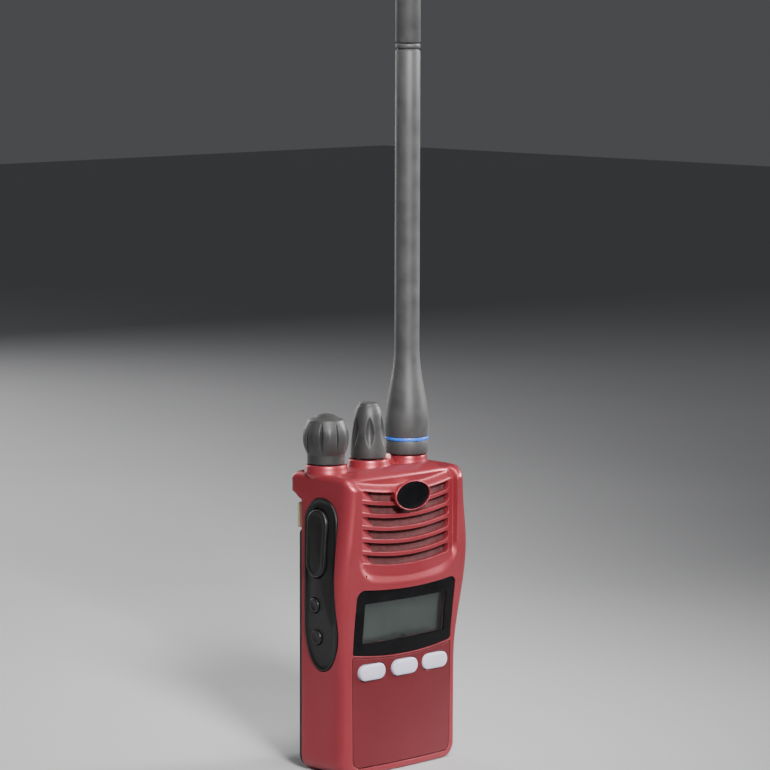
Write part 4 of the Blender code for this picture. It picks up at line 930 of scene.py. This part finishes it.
def add_bump(tree, shader, normal, heights):
    """Chain bumps on a normal, if there is one, from a list of (height, strength, millimetres)."""
    for height, strength, distance in heights:
        bump = node(tree, "ShaderNodeBump")
        bump.inputs["Strength"].default_value = strength
        bump.inputs["Distance"].default_value = distance * MM
        tree.links.new(height, bump.inputs["Height"])
        if normal:
            tree.links.new(normal, bump.inputs["Normal"])
        normal = bump.outputs["Normal"]
    tree.links.new(normal, shader.inputs["Normal"])


def moulded(name, base, lighter, rough, grain=1800.0, grain_depth=0.25, cloud=120.0, edge=0.25,
            edge_colour=None, wear=0.5, metallic=0.0, coat=0.0, sheen=0.0, specular=0.5):
    """A moulded or turned surface: clouded colour, uneven gloss, fine grain and worn edges."""
    material, tree, shader = new_material(name)
    normal, edges = worn_edges(tree, edge)
    mottling = noise(tree, cloud, 5.0, 0.6)
    speckle = noise(tree, grain, 3.0)
    smudge = noise(tree, cloud * 0.22, 3.0)
    tone = mix_colours(tree, remap(tree, mottling, 0.34, 0.7, 0.0, 1.0), base, lighter)
    rubbed = math_node(tree, "MULTIPLY", edges, remap(tree, mottling, 0.35, 0.6, 0.0, wear))
    tone = mix_colours(tree, rubbed, tone, edge_colour or tuple(min(c * 1.5 + 0.01, 1.0) for c in lighter))
    tree.links.new(tone, shader.inputs["Base Color"])
    gloss = math_node(tree, "ADD", remap(tree, mottling, 0.3, 0.7, rough[0], rough[1]),
                      remap(tree, smudge, 0.35, 0.65, -0.03, 0.04))
    tree.links.new(gloss, shader.inputs["Roughness"])
    shader.inputs["Metallic"].default_value = metallic
    shader.inputs["Coat Weight"].default_value = coat
    shader.inputs["Coat Roughness"].default_value = 0.08
    shader.inputs["Sheen Weight"].default_value = sheen
    shader.inputs["Sheen Roughness"].default_value = 0.4
    shader.inputs["Specular IOR Level"].default_value = specular
    add_bump(tree, shader, normal, [(speckle, grain_depth, 0.05), (mottling, 0.06, 0.05)])
    return material


def metallic_paint(name, base, flake, bright):
    """Satin metallic paint: fine flake, faint orange peel, soft clear coat and edges rubbed paler."""
    material, tree, shader = new_material(name)
    normal, edges = worn_edges(tree, 0.35)
    flakes = node(tree, "ShaderNodeTexVoronoi")
    flakes.inputs["Scale"].default_value = 5200.0
    tree.links.new(object_coords(tree), flakes.inputs["Vector"])
    parts = node(tree, "ShaderNodeSeparateColor")
    tree.links.new(flakes.outputs["Color"], parts.inputs["Color"])
    cloud = noise(tree, 38.0, 3.0)
    peel = noise(tree, 700.0, 2.0)
    glint = math_node(tree, "ADD", remap(tree, parts.outputs["Red"], 0.3, 1.0, 0.0, 0.22),
                      remap(tree, cloud, 0.35, 0.65, 0.0, 0.16))
    tone = mix_colours(tree, glint, base, flake)
    rubbed = math_node(tree, "MULTIPLY", edges, remap(tree, cloud, 0.35, 0.6, 0.15, 0.5))
    tree.links.new(mix_colours(tree, rubbed, tone, bright), shader.inputs["Base Color"])
    tree.links.new(remap(tree, cloud, 0.3, 0.7, 0.34, 0.42), shader.inputs["Roughness"])
    shader.inputs["Metallic"].default_value = 0.55
    shader.inputs["Coat Weight"].default_value = 0.15
    shader.inputs["Coat Roughness"].default_value = 0.28
    add_bump(tree, shader, normal, [(peel, 0.08, 0.05), (parts.outputs["Blue"], 0.05, 0.02)])
    return material


def clear_window(name):
    """Smoked acrylic: mostly clear, with faint wear in the gloss."""
    material, tree, shader = new_material(name)
    haze = noise(tree, 220.0, 5.0)
    scuffs = noise(tree, 900.0, 2.0, 0.5, (1.0, 1.0, 0.15))
    tint = remap(tree, haze, 0.3, 0.7, 0.0, 1.0)
    tree.links.new(mix_colours(tree, tint, (0.86, 0.89, 0.88), (0.92, 0.94, 0.93)),
                   shader.inputs["Base Color"])
    tree.links.new(remap(tree, haze, 0.3, 0.7, 0.02, 0.06), shader.inputs["Roughness"])
    shader.inputs["Transmission Weight"].default_value = 1.0
    shader.inputs["IOR"].default_value = 1.2
    add_bump(tree, shader, None, [(scuffs, 0.02, 0.02)])
    return material


def display_film(name):
    """A reflective display's grey-green film: fine grain, uneven tone and a dark printed right end."""
    material = moulded(name, (0.078, 0.098, 0.090), (0.095, 0.118, 0.108), (0.26, 0.36), 900.0, 0.08, 60.0)
    tree = material.node_tree
    shader = tree.nodes["Principled BSDF"]
    film = shader.inputs["Base Color"].links[0].from_socket
    apart = node(tree, "ShaderNodeSeparateXYZ")
    tree.links.new(object_coords(tree), apart.inputs["Vector"])
    end = remap(tree, apart.outputs["X"], 17.9 * MM, 18.2 * MM, 0.0, 1.0)
    tree.links.new(mix_colours(tree, end, film, (0.012, 0.012, 0.013)), shader.inputs["Base Color"])
    return material


def woven_cloth_with_painted_shade(name):
    """Open speaker cloth: crossed threads with a fuzzy tone. Its dark red colour is painted shade and painted
    red bounce light inside the grille slots.
    """
    # These dark red colours are painted shade under the fins and painted red bounce light, not only the
    # cloth's own colour.
    material = moulded(name, (0.060, 0.014, 0.016), (0.115, 0.030, 0.032), (0.8, 0.95), 2400.0, 0.5, 500.0,
                       sheen=0.05)
    tree = material.node_tree
    shader = tree.nodes["Principled BSDF"]
    threads = []
    for direction in ("X", "Z"):
        wave = node(tree, "ShaderNodeTexWave", bands_direction=direction)
        wave.inputs["Scale"].default_value = 420.0
        wave.inputs["Distortion"].default_value = 0.6
        tree.links.new(object_coords(tree), wave.inputs["Vector"])
        threads.append(wave.outputs["Fac"])
    weave = math_node(tree, "MULTIPLY", threads[0], threads[1])
    add_bump(tree, shader, shader.inputs["Normal"].links[0].from_socket, [(weave, 0.6, 0.1)])
    return material


RED = metallic_paint("red_metallic_paint", (0.30, 0.028, 0.040), (0.44, 0.078, 0.097), (0.60, 0.20, 0.22))
RED_PANEL = metallic_paint("red_panel_paint", (0.17, 0.017, 0.023), (0.25, 0.04, 0.05), (0.42, 0.12, 0.13))
RUBBER = moulded("whip_rubber", (0.034, 0.034, 0.035), (0.052, 0.051, 0.050), (0.44, 0.56), 2600.0, 0.3,
                 160.0, sheen=0.1)
KNOB = moulded("knob_rubber", (0.020, 0.020, 0.020), (0.034, 0.033, 0.032), (0.4, 0.54), 2600.0, 0.25,
               140.0, 0.3, sheen=0.08)
PAD = moulded("pad_rubber", (0.006, 0.006, 0.0065), (0.010, 0.010, 0.0105), (0.34, 0.46), 2200.0, 0.22,
              150.0, 0.3, (0.09, 0.09, 0.095), specular=0.4)
BLACK = moulded("black_case_plastic", (0.016, 0.016, 0.017), (0.030, 0.030, 0.031), (0.42, 0.58), 2400.0,
                0.35)
GLOSS = moulded("gloss_black_print", (0.0025, 0.0025, 0.003), (0.006, 0.006, 0.0065), (0.07, 0.12), 300.0,
                0.02, wear=0.1, specular=0.1)
WINDOW = clear_window("clear_window")
LCD = display_film("lcd_film")
KEY = moulded("key_cap_plastic", (0.49, 0.48, 0.60), (0.60, 0.59, 0.70), (0.3, 0.42), 1500.0, 0.08, 90.0, 0.3)
BLUE = moulded("blue_band_plastic", (0.012, 0.10, 0.62), (0.03, 0.19, 0.78), (0.3, 0.4), 900.0, 0.1)
TAN = moulded("tan_latch_plastic", (0.44, 0.36, 0.19), (0.52, 0.44, 0.26), (0.38, 0.5), 1500.0, 0.15)
LED = moulded("led_diffuser", (0.55, 0.20, 0.20), (0.68, 0.33, 0.32), (0.10, 0.16), 700.0, 0.04, coat=0.6)
# Speaker cloth whose dark red colour is painted shade and painted red bounce light in the slots.
CLOTH_PAINTED_SHADE = woven_cloth_with_painted_shade("acoustic_cloth_painted_shade")
CAST = moulded("cast_alloy", (0.42, 0.42, 0.43), (0.55, 0.55, 0.56), (0.35, 0.55), 1200.0, 0.3, metallic=1.0)
STEEL = moulded("plated_steel", (0.5, 0.5, 0.52), (0.62, 0.62, 0.63), (0.22, 0.36), 1600.0, 0.1, metallic=1.0)
BRASS = moulded("turned_brass", (0.62, 0.46, 0.2), (0.75, 0.58, 0.3), (0.22, 0.36), 1500.0, 0.1, metallic=1.0)
BOARD = moulded("solder_mask", (0.012, 0.12, 0.05), (0.02, 0.19, 0.085), (0.3, 0.45), 800.0, 0.1)
PAPER = moulded("cone_paper", (0.05, 0.045, 0.04), (0.08, 0.075, 0.07), (0.7, 0.85), 1400.0, 0.4)
CELL = moulded("cell_wrap_film", (0.05, 0.16, 0.36), (0.09, 0.22, 0.45), (0.3, 0.42), 500.0, 0.1)

SLOT_MATERIALS = {
    "red_paint": RED, "red_panel": RED_PANEL, "black_rubber": RUBBER, "black_plastic": BLACK,
    "gloss_black": GLOSS, "clear_lens": WINDOW, "lcd_glass": LCD, "key_plastic": KEY,
    "blue_plastic": BLUE, "tan_plastic": TAN, "led_plastic": LED, "die_cast": CAST,
    "steel": STEEL, "brass": BRASS, "gold": BRASS, "board": BOARD, "cloth": CLOTH_PAINTED_SHADE,
    "paper_cone": PAPER, "cell_wrap": CELL,
}
PIECE_MATERIALS = {
    "housing_shell": RED, "lower_panel_fine": RED_PANEL, "badge_fine": GLOSS, "lens_border": GLOSS,
    "lens_window": WINDOW, "key_left_fine": KEY, "key_middle_fine": KEY, "key_right_fine": KEY,
    "side_pad_fine": PAD, "ptt_button_fine": PAD, "side_key_upper_fine": PAD, "side_key_lower_fine": PAD,
    "volume_knob_fine": KNOB, "channel_knob_fine": KNOB, "antenna_whip_fine": RUBBER,
    "antenna_tip_fine": RUBBER, "antenna_ring_fine": BLUE, "led_lens_fine": LED,
}


def dress(piece, material):
    piece.data.materials.clear()
    piece.data.materials.append(material)


for entry in frame["record"]["subparts"]:
    dress(NODES[entry["node"]], SLOT_MATERIALS[entry["material_slot"]])
dress(NODES["jack_cover"], PAD)
for piece_name, piece_material in PIECE_MATERIALS.items():
    dress(bpy.data.objects[piece_name], piece_material)


# ---------------------------------------------------------------- stage, light, camera

def make_floor():
    size = 3.0
    mesh = bpy.data.meshes.new("floor")
    mesh.from_pydata([(-size, -size, 0.0), (size, -size, 0.0), (size, size, 0.0), (-size, size, 0.0)], [],
                     [(0, 1, 2, 3)])
    floor = bpy.data.objects.new("floor", mesh)
    bpy.context.scene.collection.objects.link(floor)
    floor.data.materials.append(moulded("floor_paper", (0.50, 0.50, 0.51), (0.53, 0.53, 0.54), (0.7, 0.85),
                                        60.0, 0.02, 2.0))


def area_light(name, place, target, size, power, spread_angle=180.0):
    data = bpy.data.lights.new(name, "AREA")
    data.shape = "RECTANGLE"
    data.size, data.size_y = size
    data.energy = power
    data.spread = math.radians(spread_angle)
    light = bpy.data.objects.new(name, data)
    light.location = place
    light.rotation_euler = (Vector(target) - Vector(place)).to_track_quat("-Z", "Y").to_euler()
    bpy.context.scene.collection.objects.link(light)
    return light


def make_lights():
    world = bpy.data.worlds.new("studio")
    world.use_nodes = True
    sky = world.node_tree.nodes["Background"]
    sky.inputs["Color"].default_value = (0.92, 0.94, 0.97, 1.0)
    sky.inputs["Strength"].default_value = 0.08
    bpy.context.scene.world = world
    low_antenna = (0.0, 0.0, 0.21)
    area_light("front_softbox", (-0.46, -0.92, 0.77), (0.0, 0.0, 0.23), (0.25, 0.4), 1.15, 24.0)
    area_light("right_softbox", (0.95, -0.35, 0.6), low_antenna, (0.4, 0.5), 1.0, 25.0)
    area_light("top_softbox", (-0.1, -0.3, 1.05), (0.0, -0.03, 0.1), (0.3, 0.3), 0.4, 40.0)
    area_light("rear_softbox", (0.2, 1.2, 0.5), (0.0, 0.0, 0.12), (0.6, 0.9), 7.0)


def make_camera():
    """A long lens at the left front corner, a little above the radio's middle."""
    data = bpy.data.cameras.new("camera")
    data.lens = 172.0
    data.sensor_width = 36.0
    data.clip_end = 20.0
    camera = bpy.data.objects.new("camera", data)
    azimuth, pitch, distance = math.radians(45.0), math.radians(6.7), 1.291
    look_at = Vector((-5.25, -10.75, 136.85)) * MM
    away = Vector((-math.sin(azimuth) * math.cos(pitch), -math.cos(azimuth) * math.cos(pitch),
                   math.sin(pitch)))
    camera.location = look_at + away * distance
    roll = Matrix.Rotation(math.radians(0.15), 4, "Z")
    facing = (-away).to_track_quat("-Z", "Y").to_matrix().to_4x4()
    camera.rotation_euler = (facing @ roll).to_euler()
    bpy.context.scene.collection.objects.link(camera)
    bpy.context.scene.camera = camera


make_floor()
make_lights()
make_camera()
